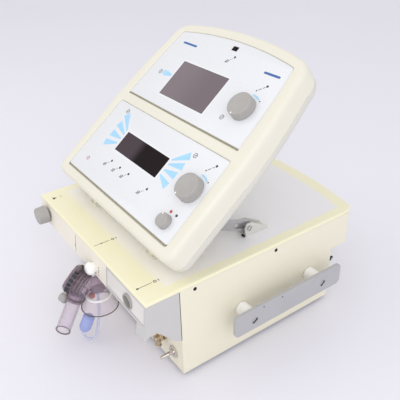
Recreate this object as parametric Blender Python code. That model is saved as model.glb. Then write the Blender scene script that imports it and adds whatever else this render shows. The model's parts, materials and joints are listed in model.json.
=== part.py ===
"""Bench-top lung ventilator with a tilting control display, built as separate named pieces.

The frame is in metres, +Z up, +X to the machine's right as the user faces it, front towards -Y.
The origin is the centre of the base tray's underside.
"""

import math

import bmesh
import bpy
from mathutils import Matrix, Vector

MM = 0.001

# Case
FRONT_Y = -192.0 * MM  # front edge of the top cover
HALF_WIDTH = 172.4 * MM
TOP_Z = 152.75 * MM
COVER_LIP = 4.2 * MM
CHASSIS_DEPTH = 50.0 * MM  # the hood takes the first stretch behind the front edge
REAR_WALL_DEPTH = 334.0 * MM
SIDE_DEPTH = 366.0 * MM
COVER_DEPTH = 398.0 * MM
OVERHANG_Z = 93.0 * MM
SHEET = 2.0 * MM
SHELL = 3.0 * MM
TRAY_HEIGHT = 14.0 * MM
GAP = 0.3 * MM
FOOT_HEIGHT = 6.0 * MM
FOOT_X = 140.0 * MM
FOOT_LEDGE_X = 124.0 * MM  # the tray is set up outside here, where the feet sit
FOOT_LEDGE = 1.0 * MM
FOOT_DEPTHS = {"front": 80.0 * MM, "rear": 305.0 * MM}

# Display slab, in its own axes: X across, Y up the slope from the lower panel's edge, Z out of its face
TILT = math.radians(38.8)
SLAB_HALF_WIDTH = 168.0 * MM
SLAB_BOTTOM = -20.0 * MM
SLAB_TOP = 313.0 * MM
SLAB_FACE = 1.5 * MM  # the frame stands this far over the printed panels
PARTING = -29.0 * MM
SLAB_BACK = -45.0 * MM
HINGE_DEPTH = 64.4 * MM
HINGE_Z = 173.8 * MM
HINGE_UP = -10.0 * MM
HINGE_IN = -35.0 * MM
HINGE_BRACKET_X = (83.0 * MM, 91.0 * MM)
HINGE_SHAFT_RADIUS = 2.5 * MM
SLAB_ARC_RADIUS = 693.0 * MM  # the slow arc of the slab's top and of the upper panel
LOWER_PANEL = (0.0, 133.0 * MM)
UPPER_PANEL = (152.7 * MM, 295.0 * MM)
PANEL_HALF_WIDTH = 148.0 * MM
PANEL_THICKNESS = 1.2 * MM
UPPER_SCREEN = (-75.0 * MM, 39.2 * MM, 171.6 * MM, 236.5 * MM)
LOWER_SCREEN = (-72.4 * MM, 46.6 * MM, 59.7 * MM, 94.6 * MM)
KNOBS = {
    "upper": (101.3 * MM, 204.0 * MM, 19.0 * MM, 14.0 * MM),
    "lower": (120.2 * MM, 75.2 * MM, 19.5 * MM, 14.0 * MM),
    "small": (119.0 * MM, 21.5 * MM, 10.8 * MM, 10.0 * MM),
}
SHAFT_RADIUS = 3.0 * MM

# Prop stays behind the display
STAY_X = 123.0 * MM
STAY_PIN_DEPTH = 198.0 * MM
STAY_PIN_Z = 166.0 * MM
STAY_UP = 41.0 * MM  # upper pivot, on the slab's own axes
STAY_IN = -40.0 * MM
STAY_HALF_HEIGHT = 8.3 * MM
STAY_THICKNESS = 7.0 * MM
STAY_SLOT = (78.0 * MM, 99.0 * MM)
STAY_SLOT_HALF_WIDTH = 4.2 * MM
PIVOT_RADIUS = 2.0 * MM

# Rails
RAIL_X = (197.0 * MM, 203.0 * MM)
RAIL_DEPTH = (118.0 * MM, 325.0 * MM)
RAIL_Z = (50.0 * MM, 86.5 * MM)
STANDOFF_RADIUS = 10.8 * MM
STANDOFF_DEPTHS = {"front": 152.0 * MM, "rear": 285.0 * MM}
STANDOFF_Z = 69.0 * MM

# Exhalation valve, gas connections and front knob
VALVE_CENTRE = Vector((20.0 * MM, FRONT_Y - 19.0 * MM, 94.0 * MM))
VALVE_AXIS = Vector((-0.70, -0.50, 0.50)).normalized()
OUTLET_AXIS = Vector((0.0, -0.484, -0.875)).normalized()
TUBE_RADIUS = 11.0 * MM
BOWL_TOP_Z = 80.8 * MM
HOSE_RADIUS = 2.0 * MM
PORT_CENTRE = Vector((126.5 * MM, FRONT_Y - 2.5 * MM, 129.0 * MM))
NIPPLE_CENTRE = Vector((148.6 * MM, FRONT_Y + CHASSIS_DEPTH, 24.7 * MM))
FRONT_KNOB_CENTRE = Vector((-143.0 * MM, FRONT_Y - 3.4 * MM, 131.0 * MM))
FRONT_KNOB_RADIUS = 14.7 * MM
BUTTON_CENTRE = Vector((27.0 * MM, FRONT_Y - 6.4 * MM, 124.0 * MM))

# Inside and rear
FAN_CENTRE = Vector((96.0 * MM, FRONT_Y + 318.0 * MM, 46.0 * MM))
FAN_HALF = 30.0 * MM
FAN_BLADES = 7
BLOWER_CENTRE = Vector((40.0 * MM, FRONT_Y + 245.0 * MM, 8.0 * MM))
BLOWER_BLADES = 8
BOARD_Z = 104.0 * MM
INLET_CENTRE = Vector((-104.0 * MM, FRONT_Y + REAR_WALL_DEPTH, 42.0 * MM))

Z_AXIS = Vector((0.0, 0.0, 1.0))
X_AXIS = Vector((1.0, 0.0, 0.0))
BACKWARD = Vector((0.0, 1.0, 0.0))


def clear_scene():
    for obj in list(bpy.data.objects):
        bpy.data.objects.remove(obj, do_unlink=True)


def material(name, colour, roughness=0.45, metallic=0.0, transmission=0.0):
    """Principled material, one for each finish."""
    result = bpy.data.materials.get(name)
    if result is None:
        result = bpy.data.materials.new(name)
        result.use_nodes = True
        shader = result.node_tree.nodes["Principled BSDF"]
        shader.inputs["Base Color"].default_value = (*colour, 1.0)
        shader.inputs["Roughness"].default_value = roughness
        shader.inputs["Metallic"].default_value = metallic
        shader.inputs["Transmission Weight"].default_value = transmission
    return result


def finishes():
    """The finishes of the object, by plain name."""
    return {
        "ivory": material("ivory_abs", (0.87, 0.84, 0.68)),
        "case": material("case_paint", (0.80, 0.77, 0.64), 0.5),
        "grey": material("hood_grey", (0.62, 0.60, 0.57), 0.5),
        "panel": material("printed_film", (0.90, 0.91, 0.93), 0.3),
        "screen": material("screen_glass", (0.12, 0.10, 0.10), 0.1),
        "knob": material("knob_grey", (0.45, 0.44, 0.42), 0.5),
        "rail": material("rail_anodised", (0.48, 0.48, 0.51), 0.4, 0.6),
        "steel": material("steel", (0.55, 0.54, 0.52), 0.3, 1.0),
        "brass": material("nickel_brass", (0.60, 0.52, 0.36), 0.3, 1.0),
        "smoke": material("smoked_polysulfone", (0.35, 0.30, 0.34), 0.1, 0.0, 0.6),
        "clear": material("clear_polycarbonate", (0.85, 0.83, 0.88), 0.05, 0.0, 0.9),
        "blue": material("blue_connector", (0.25, 0.35, 0.85), 0.3, 0.0, 0.3),
        "black": material("black_plastic", (0.03, 0.03, 0.03), 0.5),
        "rubber": material("rubber", (0.05, 0.05, 0.05), 0.8),
        "zinc": material("zinc_plated_steel", (0.60, 0.60, 0.60), 0.4, 0.9),
        "board": material("circuit_board", (0.03, 0.16, 0.08), 0.5),
        "alloy": material("cast_alloy", (0.55, 0.55, 0.56), 0.5, 0.9),
    }


def finish_bmesh(bm, name, surface=None, parent=None, location=None, rotation=None):
    """Turn a bmesh into a scene object, with its faces out and round parts smooth."""
    bmesh.ops.remove_doubles(bm, verts=bm.verts, dist=1e-7)
    bmesh.ops.recalc_face_normals(bm, faces=bm.faces)
    mesh = bpy.data.meshes.new(name)
    bm.to_mesh(mesh)
    bm.free()
    mesh.shade_smooth()
    mesh.set_sharp_from_angle(angle=math.radians(35.0))
    obj = bpy.data.objects.new(name, mesh)
    bpy.context.scene.collection.objects.link(obj)
    if surface is not None:
        mesh.materials.append(surface)
    if parent is not None:
        obj.parent = parent
    if location is not None:
        obj.location = location
    if rotation is not None:
        obj.rotation_mode = "QUATERNION"
        obj.rotation_quaternion = rotation
    return obj


def empty(name, location, rotation_x=0.0, parent=None):
    obj = bpy.data.objects.new(name, None)
    obj.location = location
    obj.rotation_euler = (rotation_x, 0.0, 0.0)
    obj.parent = parent
    bpy.context.scene.collection.objects.link(obj)
    return obj


def boolean(target, tool, operation="DIFFERENCE"):
    """Add a live Boolean and hide its tool from renders."""
    modifier = target.modifiers.new(operation.title(), "BOOLEAN")
    modifier.operation = operation
    modifier.object = tool
    tool.hide_render = True
    tool.display_type = "WIRE"


def box_bmesh(low, high, bevel=0.0):
    low, high = Vector(low), Vector(high)
    bm = bmesh.new()
    size = high - low
    matrix = Matrix.Translation((low + high) / 2) @ Matrix.Diagonal((*size, 1.0))
    bmesh.ops.create_cube(bm, size=1.0, matrix=matrix)
    if bevel > 0.0:
        bmesh.ops.bevel(bm, geom=bm.edges, offset=bevel, segments=1, affect="EDGES")
    return bm


def box(name, low, high, surface=None, bevel=0.0, parent=None):
    return finish_bmesh(box_bmesh(low, high, bevel), name, surface, parent)


def prism_bmesh(outline, start, end, axis="z"):
    """A flat outline carried along one axis. The outline's pair is (x, y), (y, z) or (x, z)."""
    place = {
        "z": lambda a, b, c: (a, b, c),
        "x": lambda a, b, c: (c, a, b),
        "y": lambda a, b, c: (a, c, b),
    }[axis]
    bm = bmesh.new()
    face = bm.faces.new([bm.verts.new(place(a, b, start)) for a, b in outline])
    extruded = bmesh.ops.extrude_face_region(bm, geom=[face])
    moved = [item for item in extruded["geom"] if isinstance(item, bmesh.types.BMVert)]
    shift = Vector(place(0.0, 0.0, end)) - Vector(place(0.0, 0.0, start))
    bmesh.ops.translate(bm, verts=moved, vec=shift)
    return bm


def prism(name, outline, start, end, surface=None, axis="z", parent=None):
    return finish_bmesh(prism_bmesh(outline, start, end, axis), name, surface, parent)


def stack_bmesh(rings):
    """Close a body over rings of equal point counts, with a flat cap at each end."""
    bm = bmesh.new()
    loops = [[bm.verts.new(point) for point in ring] for ring in rings]
    for lower, upper in zip(loops, loops[1:]):
        for i in range(len(lower)):
            j = (i + 1) % len(lower)
            bm.faces.new((lower[i], lower[j], upper[j], upper[i]))
    bm.faces.new(loops[0])
    bm.faces.new(loops[-1])
    return bm


def lathe_bmesh(profile, segments=24, ring=False):
    """Spin (radius, height) points round +Z. A ring's profile closes on itself."""
    bm = bmesh.new()
    verts = [bm.verts.new((radius, 0.0, height)) for radius, height in profile]
    pairs = list(zip(verts, verts[1:]))
    if ring:
        pairs.append((verts[-1], verts[0]))
    edges = [bm.edges.new(pair) for pair in pairs]
    bmesh.ops.spin(
        bm, geom=verts + edges, cent=(0.0, 0.0, 0.0), axis=(0.0, 0.0, 1.0),
        angle=2.0 * math.pi, steps=segments, use_duplicate=False,
    )
    return bm


def lathe(name, profile, surface=None, location=None, axis=Z_AXIS, segments=24, ring=False, parent=None):
    rotation = Z_AXIS.rotation_difference(axis)
    bm = lathe_bmesh(profile, segments, ring)
    return finish_bmesh(bm, name, surface, parent, location or (0.0, 0.0, 0.0), rotation)


def rod(name, radius, start, length, axis=Z_AXIS, surface=None, segments=24, parent=None):
    profile = [(0.0, 0.0), (radius, 0.0), (radius, length), (0.0, length)]
    return lathe(name, profile, surface, start, axis, segments, False, parent)


def arc(centre, radius, start, end, steps):
    """Points on a circle from one angle to another, in degrees."""
    return [
        (
            centre[0] + radius * math.cos(math.radians(start + (end - start) * i / steps)),
            centre[1] + radius * math.sin(math.radians(start + (end - start) * i / steps)),
        )
        for i in range(steps + 1)
    ]


def rounded_rectangle(x0, x1, y0, y1, radius, steps=4):
    return (
        arc((x1 - radius, y0 + radius), radius, -90, 0, steps)
        + arc((x1 - radius, y1 - radius), radius, 0, 90, steps)
        + arc((x0 + radius, y1 - radius), radius, 90, 180, steps)
        + arc((x0 + radius, y0 + radius), radius, 180, 270, steps)
    )


def depth(distance):
    """World y of a place this far behind the cover's front edge."""
    return FRONT_Y + distance


# ---------------------------------------------------------------- case


def cover_outline(side, inset):
    """Plan of the cover: straight front and sides, a slow arc at the back with rounded corners."""
    arc_radius = 700.0 * MM
    corner = 14.0 * MM
    half = side - inset
    points = [(-half, depth(inset)), (half, depth(inset)), (half, depth(SIDE_DEPTH - corner))]
    back = []
    for i in range(17):
        x = (half - corner * 0.55) * (1.0 - i / 8.0)
        drop = arc_radius - math.sqrt(arc_radius**2 - x**2)
        back.append((x, depth(COVER_DEPTH - inset - drop)))
    points += [(half - 1.5 * MM, depth(SIDE_DEPTH + 1.0 * MM))]
    points += back
    points += [(-half + 1.5 * MM, depth(SIDE_DEPTH + 1.0 * MM)), (-half, depth(SIDE_DEPTH - corner))]
    return points


def build_top_cover(surface):
    """Moulded lid: flat top with a rounded lip, and a curved skirt that closes the rear overhang."""
    levels = [
        (TOP_Z - COVER_LIP, 0.0), (TOP_Z - 2.0 * MM, 0.0), (TOP_Z - 0.6 * MM, 0.6 * MM), (TOP_Z, 2.0 * MM),
    ]
    rings = [[(x, y, z) for x, y in cover_outline(HALF_WIDTH, inset)] for z, inset in levels]
    cover = finish_bmesh(stack_bmesh(rings), "top_cover", surface)
    skirt_half = HALF_WIDTH - SHEET - GAP
    skirt = prism("skirt_tool", cover_outline(skirt_half, 0.0), OVERHANG_Z, TOP_Z - COVER_LIP / 2)
    front_cut = box(
        "skirt_front_tool",
        (-0.3, depth(-0.05), 0.0), (0.3, depth(REAR_WALL_DEPTH + GAP), TOP_Z - COVER_LIP / 2 + MM),
    )
    boolean(skirt, front_cut)
    boolean(cover, skirt, "UNION")
    hollow = prism(
        "skirt_hollow_tool", cover_outline(skirt_half - SHELL, SHELL), OVERHANG_Z + SHELL,
        TOP_Z - COVER_LIP,
    )
    boolean(cover, hollow)
    return cover


def build_side_panel(side, surface):
    """Painted sheet side, stepped up under the rear overhang."""
    outline = [
        (depth(CHASSIS_DEPTH), 0.0), (depth(REAR_WALL_DEPTH), 0.0), (depth(REAR_WALL_DEPTH), OVERHANG_Z),
        (depth(SIDE_DEPTH), OVERHANG_Z), (depth(SIDE_DEPTH), TOP_Z - COVER_LIP - GAP),
        (depth(CHASSIS_DEPTH), TOP_Z - COVER_LIP - GAP),
    ]
    outer = HALF_WIDTH
    name = "side_panel_right" if side > 0 else "side_panel_left"
    return prism(name, outline, side * (outer - SHEET), side * outer, surface, "x")


def build_base_tray(surface):
    """Folded steel tray that the inside assemblies bolt to."""
    half = HALF_WIDTH - SHEET - GAP
    front = depth(CHASSIS_DEPTH + SHEET + GAP)
    back = depth(REAR_WALL_DEPTH - SHEET - GAP)
    tray = box("base_tray", (-half, front, 0.0), (half, back, TRAY_HEIGHT), surface)
    hollow = box(
        "tray_hollow_tool", (-half + SHEET, front + SHEET, SHEET),
        (half - SHEET, back - SHEET, 2.0 * TRAY_HEIGHT),
    )
    boolean(tray, hollow)
    for side, word in ((-1, "left"), (1, "right")):
        near, far = sorted((side * FOOT_LEDGE_X, side * (half + MM)))
        ledge = box(f"foot_ledge_{word}_tool", (near, front - MM, -MM), (far, back + MM, FOOT_LEDGE))
        boolean(tray, ledge)


def build_rear_panel(surface):
    half = HALF_WIDTH - SHEET - GAP
    panel = box(
        "rear_panel",
        (-half, depth(REAR_WALL_DEPTH - SHEET), 0.0), (half, depth(REAR_WALL_DEPTH), OVERHANG_Z - GAP),
        surface,
    )
    opening = rod(
        "fan_opening_tool", 27.0 * MM, (FAN_CENTRE.x, depth(REAR_WALL_DEPTH - 10.0 * MM), FAN_CENTRE.z),
        20.0 * MM, BACKWARD, None, 24,
    )
    boolean(panel, opening)
    cut = box(
        "inlet_opening_tool",
        INLET_CENTRE + Vector((-14.5 * MM, -10.0 * MM, -24.5 * MM)),
        INLET_CENTRE + Vector((14.5 * MM, 10.0 * MM, 24.5 * MM)),
    )
    boolean(panel, cut)
    return panel


def build_front_bulkhead(surface):
    half = HALF_WIDTH - SHEET - GAP
    return box(
        "front_bulkhead",
        (-half, depth(CHASSIS_DEPTH), 0.0),
        (half, depth(CHASSIS_DEPTH + SHEET), TOP_Z - COVER_LIP - GAP), surface,
    )


HOOD_FACE_TOP = (0.0, 148.25 * MM)
HOOD_FACE_FOOT = (-3.8 * MM, 113.5 * MM)


def hood_face_depth(z, inset=0.0):
    """Depth of the hood's leaning front face at a height, with an inset into the wall."""
    fall = (HOOD_FACE_TOP[1] - z) / (HOOD_FACE_TOP[1] - HOOD_FACE_FOOT[1])
    return HOOD_FACE_FOOT[0] * fall + inset


def build_front_hood(surface):
    """Moulding over the breathing connections: leaning face, sloped underside and closed cheeks."""
    rear = CHASSIS_DEPTH - GAP
    outer = [
        HOOD_FACE_TOP, HOOD_FACE_FOOT, (17.0 * MM, 95.7 * MM), (38.8 * MM, 70.2 * MM), (rear, 63.6 * MM),
        (rear, HOOD_FACE_TOP[1]),
    ]
    inner = [
        (3.0 * MM, 155.0 * MM), (-0.5 * MM, 115.5 * MM), (19.4 * MM, 98.4 * MM), (41.0 * MM, 73.2 * MM),
        (60.0 * MM, 67.0 * MM), (60.0 * MM, 155.0 * MM),
    ]
    half = HALF_WIDTH
    hood = prism("front_hood", [(depth(a), b) for a, b in outer], -half, half, surface, "x")
    hollow = prism(
        "hood_hollow_tool", [(depth(a), b) for a, b in inner], -half + SHELL, half - SHELL, None, "x",
    )
    boolean(hood, hollow)
    lip = [
        (-3.4 * MM, 116.0 * MM), (-7.5 * MM, 97.0 * MM), (-5.5 * MM, 93.4 * MM), (8.5 * MM, 102.9 * MM),
        (6.0 * MM, 106.0 * MM),
    ]
    corner = prism(
        "hood_corner_tool", [(depth(a), b) for a, b in lip], 152.0 * MM, half - 0.02 * MM, None, "x",
    )
    boolean(hood, corner, "UNION")
    window = [
        (-12.0 * MM, 117.3 * MM), (12.0 * MM, 117.3 * MM), (12.0 * MM, 145.3 * MM),
        (-12.0 * MM, 145.3 * MM),
    ]
    opening = prism(
        "hood_window_tool", [(depth(a), b) for a, b in window], 66.7 * MM, 168.3 * MM, None, "x",
    )
    boolean(hood, opening)
    for name, centre, radius in (
        ("hood_knob_hole_tool", FRONT_KNOB_CENTRE, 4.3 * MM),
        ("hood_button_hole_tool", BUTTON_CENTRE, 8.3 * MM),
    ):
        start = centre + Vector((0.0, -20.0 * MM, 0.0))
        boolean(hood, rod(name, radius, start, 40.0 * MM, BACKWARD))
    spigot_hole = rod(
        "hood_spigot_hole_tool", 11.8 * MM, VALVE_CENTRE + Vector((3.5 * MM, 5.0 * MM, 0.0)), 60.0 * MM,
        BACKWARD,
    )
    boolean(hood, spigot_hole)
    return hood


def build_port_plate(surface):
    """Plate let into the hood's face, with the round recess of the inspiratory port."""
    low, high = 117.6 * MM, 145.0 * MM
    section = [
        (hood_face_depth(low, 0.9 * MM), low), (hood_face_depth(low, 2.9 * MM), low),
        (hood_face_depth(high, 2.9 * MM), high), (hood_face_depth(high, 0.9 * MM), high),
    ]
    plate = prism("port_plate", [(depth(a), b) for a, b in section], 67.0 * MM, 168.0 * MM, surface, "x")
    hole = rod("port_hole_tool", 11.3 * MM, PORT_CENTRE - BACKWARD * 15.0 * MM, 40.0 * MM, BACKWARD)
    boolean(plate, hole)
    return plate


def build_inspiratory_port(surface):
    """Open cone socket for the patient hose, set back in the plate."""
    profile = [
        (9.3 * MM, 0.0), (11.0 * MM, 0.0), (11.0 * MM, 12.0 * MM), (13.0 * MM, 12.0 * MM),
        (13.0 * MM, 15.0 * MM), (10.0 * MM, 15.0 * MM), (10.0 * MM, 42.0 * MM), (8.4 * MM, 42.0 * MM),
    ]
    return lathe(
        "inspiratory_port", profile, surface, PORT_CENTRE - BACKWARD * 1.0 * MM, BACKWARD, 24, True,
    )


def build_case(surfaces):
    build_top_cover(surfaces["ivory"])
    for side in (-1, 1):
        build_side_panel(side, surfaces["case"])
    build_base_tray(surfaces["zinc"])
    build_rear_panel(surfaces["case"])
    build_front_bulkhead(surfaces["case"])
    build_front_hood(surfaces["grey"])
    build_port_plate(surfaces["grey"])
    build_inspiratory_port(surfaces["clear"])
    foot_top = FOOT_HEIGHT + FOOT_LEDGE - GAP
    foot_profile = [
        (0.0, 0.0), (8.0 * MM, 0.0), (9.0 * MM, 1.0 * MM), (10.0 * MM, foot_top), (0.0, foot_top),
    ]
    for row, distance in FOOT_DEPTHS.items():
        for side, word in ((-1, "left"), (1, "right")):
            place = (side * FOOT_X, depth(distance), -FOOT_HEIGHT)
            lathe(f"foot_{row}_{word}", foot_profile, surfaces["rubber"], place, Z_AXIS, 20)


# ---------------------------------------------------------------- rails


def build_rails(surfaces):
    """Accessory rail on each side, held off the case by two round spacers."""
    outline = rounded_rectangle(
        depth(RAIL_DEPTH[0]), depth(RAIL_DEPTH[1]), RAIL_Z[0], RAIL_Z[1], 7.0 * MM, 4,
    )
    for side, word in ((-1, "left"), (1, "right")):
        prism(f"side_rail_{word}", outline, side * RAIL_X[0], side * RAIL_X[1], surfaces["rail"], "x")
        for row, distance in STANDOFF_DEPTHS.items():
            start = Vector((side * (HALF_WIDTH + GAP), depth(distance), STANDOFF_Z))
            length = RAIL_X[0] - HALF_WIDTH - 2.0 * GAP
            rod(
                f"rail_spacer_{word}_{row}", STANDOFF_RADIUS, start, length, X_AXIS * side,
                surfaces["ivory"], 20,
            )


# ---------------------------------------------------------------- display


def slab_outline(inset):
    """Plan of the display slab, counter-clockwise: straight foot, tapered sides, slow arc on top."""
    corner = 18.0 * MM
    taper_start = 115.0 * MM
    top_radius = SLAB_ARC_RADIUS
    half = SLAB_HALF_WIDTH
    right = arc((half - corner, SLAB_BOTTOM + corner), corner, -90, 0, 4)
    for up in (60.0 * MM, taper_start, 160.0 * MM, 200.0 * MM, 235.0 * MM, 262.0 * MM):
        right.append((half - 13.0 * MM * (max(up - taper_start, 0.0) / (135.0 * MM)) ** 2, up))
    shoulder = [
        (151.4 * MM, 275.0 * MM), (147.4 * MM, 286.0 * MM), (140.0 * MM, 294.5 * MM),
        (130.0 * MM, 300.0 * MM),
    ]
    right += shoulder
    for x in (105.0 * MM, 80.0 * MM, 55.0 * MM, 27.0 * MM):
        right.append((x, SLAB_TOP - top_radius + math.sqrt(top_radius**2 - x**2)))
    points = right + [(0.0, SLAB_TOP)] + [(-x, y) for x, y in reversed(right)]
    return inset_outline(points, inset)


def inset_outline(points, inset):
    """Move each side of a convex counter-clockwise outline inwards by the same amount."""
    moved = []
    for i, point in enumerate(points):
        before = Vector(point) - Vector(points[i - 1])
        after = Vector(points[(i + 1) % len(points)]) - Vector(point)
        before.normalize()
        after.normalize()
        inwards = Vector((-before.y, before.x)) + Vector((-after.y, after.x))
        inwards *= inset / (1.0 + before.dot(after))
        moved.append((point[0] + inwards.x, point[1] + inwards.y))
    return moved


def to_slab(up, out):
    """Local place on the slab's axes, which start at the hinge."""
    return up - HINGE_UP, out - HINGE_IN


def slab_rings(levels):
    rings = []
    for inset, out in levels:
        rings.append([(x, up - HINGE_UP, out - HINGE_IN) for x, up in slab_outline(inset)])
    return rings


def slab_box(name, x, up, out, parent, surface=None, bevel=0.0):
    """Box given by its spans across, up the slope and out of the face."""
    low = (x[0], up[0] - HINGE_UP, out[0] - HINGE_IN)
    high = (x[1], up[1] - HINGE_UP, out[1] - HINGE_IN)
    return box(name, low, high, surface, bevel, parent)


def slab_rod(name, radius, x, up, out, length, parent, surface=None, segments=20):
    """Rod that points out of the slab's face."""
    start = (x, up - HINGE_UP, out - HINGE_IN)
    return rod(name, radius, start, length, Z_AXIS, surface, segments, parent)


def panel_outline(which, grow):
    """Plan of a printed panel: the lower is a tapered rectangle, the upper ends in an arc."""
    if which == "lower":
        low, high = LOWER_PANEL
        half_low, half_high = PANEL_HALF_WIDTH + grow, 145.0 * MM + grow
        return [
            (-half_low, low - grow), (half_low, low - grow), (half_high, high + grow),
            (-half_high, high + grow),
        ]
    low, high = UPPER_PANEL
    right = [(142.0 * MM + grow, low - grow), (136.5 * MM + grow, 230.0 * MM), (131.5 * MM + grow, 268.0 * MM)]
    right += [(129.8 * MM + grow, 277.5 * MM), (124.0 * MM, 283.8 * MM + grow)]
    radius = SLAB_ARC_RADIUS
    for x in (85.0 * MM, 45.0 * MM):
        right.append((x, high + grow - radius + math.sqrt(radius**2 - x**2)))
    return right + [(0.0, high + grow)] + [(-x, y) for x, y in reversed(right)]


def slab_prism(name, outline, out, parent, surface=None):
    moved = [(x, up - HINGE_UP) for x, up in outline]
    return prism(name, moved, out[0] - HINGE_IN, out[1] - HINGE_IN, surface, "z", parent)


def build_display_bezel(parent, surface):
    """Front shell: rounded frame round two sunk fields, open behind."""
    levels = [
        (0.0, PARTING + GAP / 2), (0.0, -8.0 * MM), (0.8 * MM, -3.5 * MM), (3.0 * MM, -0.4 * MM),
        (6.5 * MM, SLAB_FACE),
    ]
    bezel = finish_bmesh(stack_bmesh(slab_rings(levels)), "display_bezel", surface, parent)
    hollow = finish_bmesh(
        stack_bmesh(slab_rings([(SHELL, PARTING - 5.0 * MM), (SHELL, -9.0 * MM), (6.5 * MM, -4.5 * MM)])),
        "bezel_hollow_tool", None, parent,
    )
    boolean(bezel, hollow)
    for which in ("lower", "upper"):
        field = slab_prism(
            f"{which}_field_tool", panel_outline(which, GAP), (-PANEL_THICKNESS - GAP, 5.0 * MM), parent,
        )
        boolean(bezel, field)
    for which, spans in (("upper", UPPER_SCREEN), ("lower", LOWER_SCREEN)):
        window = slab_box(
            f"{which}_window_tool", (spans[0] - GAP, spans[1] + GAP), (spans[2] - GAP, spans[3] + GAP),
            (-12.0 * MM, 5.0 * MM), parent,
        )
        boolean(bezel, window)
    for which, (x, up, _, _) in KNOBS.items():
        boolean(bezel, slab_rod(f"{which}_bezel_hole_tool", 5.0 * MM, x, up, -12.0 * MM, 20.0 * MM, parent))
    return bezel


def build_display_rear_cover(parent, surface):
    """Rear shell, with two channels for the stays and two slots for the hinge brackets."""
    levels = [
        (8.0 * MM, SLAB_BACK), (3.2 * MM, -42.6 * MM), (0.8 * MM, -38.0 * MM), (0.0, -33.0 * MM),
        (0.0, PARTING - GAP / 2),
    ]
    rear = finish_bmesh(stack_bmesh(slab_rings(levels)), "display_rear_cover", surface, parent)
    hollow = finish_bmesh(
        stack_bmesh(
            slab_rings([(8.0 * MM, SLAB_BACK + SHELL), (SHELL, -37.0 * MM), (SHELL, PARTING + 5.0 * MM)])
        ),
        "rear_hollow_tool", None, parent,
    )
    boolean(rear, hollow)
    channel_top = -25.0 * MM
    for side in (-1, 1):
        word = "right" if side > 0 else "left"
        centre = side * STAY_X
        walls = slab_box(
            f"channel_wall_{word}_tool", (centre - 19.0 * MM, centre + 19.0 * MM), (24.0 * MM, 172.0 * MM),
            (SLAB_BACK + 1.0 * MM, channel_top), parent,
        )
        boolean(rear, walls, "UNION")
        channel = slab_box(
            f"channel_{word}_tool", (centre - 16.0 * MM, centre + 16.0 * MM), (27.0 * MM, 169.0 * MM),
            (SLAB_BACK - 5.0 * MM, channel_top - SHELL), parent,
        )
        boolean(rear, channel)
        for inner, outer in ((-16.5 * MM, -5.0 * MM), (5.0 * MM, 16.5 * MM)):
            lug = slab_box(
                f"stay_lug_{word}_{'a' if inner < 0 else 'b'}_tool", (centre + inner, centre + outer),
                (STAY_UP - 5.0 * MM, STAY_UP + 5.0 * MM), (STAY_IN - 4.5 * MM, channel_top - 1.0 * MM),
                parent,
            )
            boolean(rear, lug, "UNION")
        slot = slab_box(
            f"hinge_slot_{word}_tool",
            (side * 80.0 * MM, side * 94.0 * MM) if side > 0 else (-94.0 * MM, -80.0 * MM),
            (SLAB_BOTTOM - 5.0 * MM, -1.0 * MM), (SLAB_BACK - 5.0 * MM, PARTING + 5.0 * MM), parent,
        )
        boolean(rear, slot)
        for start, end in ((68.0 * MM, 78.0 * MM), (96.0 * MM, 106.0 * MM)):
            spans = (start, end) if side > 0 else (-end, -start)
            lug = slab_box(
                f"hinge_lug_{word}_{round(start / MM)}_tool", spans, (-15.0 * MM, -5.0 * MM),
                (-43.5 * MM, -29.5 * MM), parent,
            )
            boolean(rear, lug, "UNION")
    shaft_hole = rod(
        "hinge_hole_tool", HINGE_SHAFT_RADIUS + GAP, (-120.0 * MM, 0.0, 0.0), 240.0 * MM, X_AXIS, None,
        16, parent,
    )
    boolean(rear, shaft_hole)
    pivot_up, pivot_out = to_slab(STAY_UP, STAY_IN)
    stay_hole = rod(
        "stay_hole_tool", PIVOT_RADIUS + GAP, (-160.0 * MM, pivot_up, pivot_out), 320.0 * MM, X_AXIS,
        None, 12,
        parent,
    )
    boolean(rear, stay_hole)
    return rear


def build_panels(parent, surfaces):
    """Printed film panels with their screen windows and shaft holes, and the screens behind them."""
    for which in ("lower", "upper"):
        panel = slab_prism(
            f"{which}_panel", panel_outline(which, 0.0), (-PANEL_THICKNESS, 0.0), parent, surfaces["panel"],
        )
        spans = UPPER_SCREEN if which == "upper" else LOWER_SCREEN
        window = slab_box(
            f"{which}_film_window_tool", (spans[0], spans[1]), (spans[2], spans[3]),
            (-5.0 * MM, 5.0 * MM), parent,
        )
        boolean(panel, window)
        for knob, (x, up, _, _) in KNOBS.items():
            if (knob == "upper") == (which == "upper"):
                boolean(
                    panel,
                    slab_rod(f"{knob}_film_hole_tool", 5.0 * MM, x, up, -5.0 * MM, 10.0 * MM, parent),
                )
        slab_box(
            f"{which}_screen", (spans[0] + GAP, spans[1] - GAP), (spans[2] + GAP, spans[3] - GAP),
            (-8.0 * MM, -0.4 * MM), parent, surfaces["screen"],
        )
    board = slab_box(
        "display_board", (-138.0 * MM, 138.0 * MM), (30.0 * MM, 262.0 * MM), (-12.0 * MM, -10.4 * MM),
        parent,
        surfaces["board"],
    )
    for knob, (x, up, _, _) in KNOBS.items():
        encoder = slab_box(
            f"{knob}_encoder_tool", (x - 7.0 * MM, x + 7.0 * MM), (up - 7.0 * MM, up + 7.0 * MM),
            (-20.0 * MM, -6.0 * MM), parent,
        )
        boolean(board, encoder, "UNION")
    foot = slab_box(
        "board_foot_tool", (95.0 * MM, 138.0 * MM), (10.0 * MM, 32.0 * MM), (-12.0 * MM, -10.4 * MM),
        parent,
    )
    boolean(board, foot, "UNION")
    for knob, (x, up, _, _) in KNOBS.items():
        bore = slab_rod(
            f"{knob}_encoder_bore_tool", SHAFT_RADIUS + GAP, x, up, -15.0 * MM, 20.0 * MM, parent,
        )
        boolean(board, bore)


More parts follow.
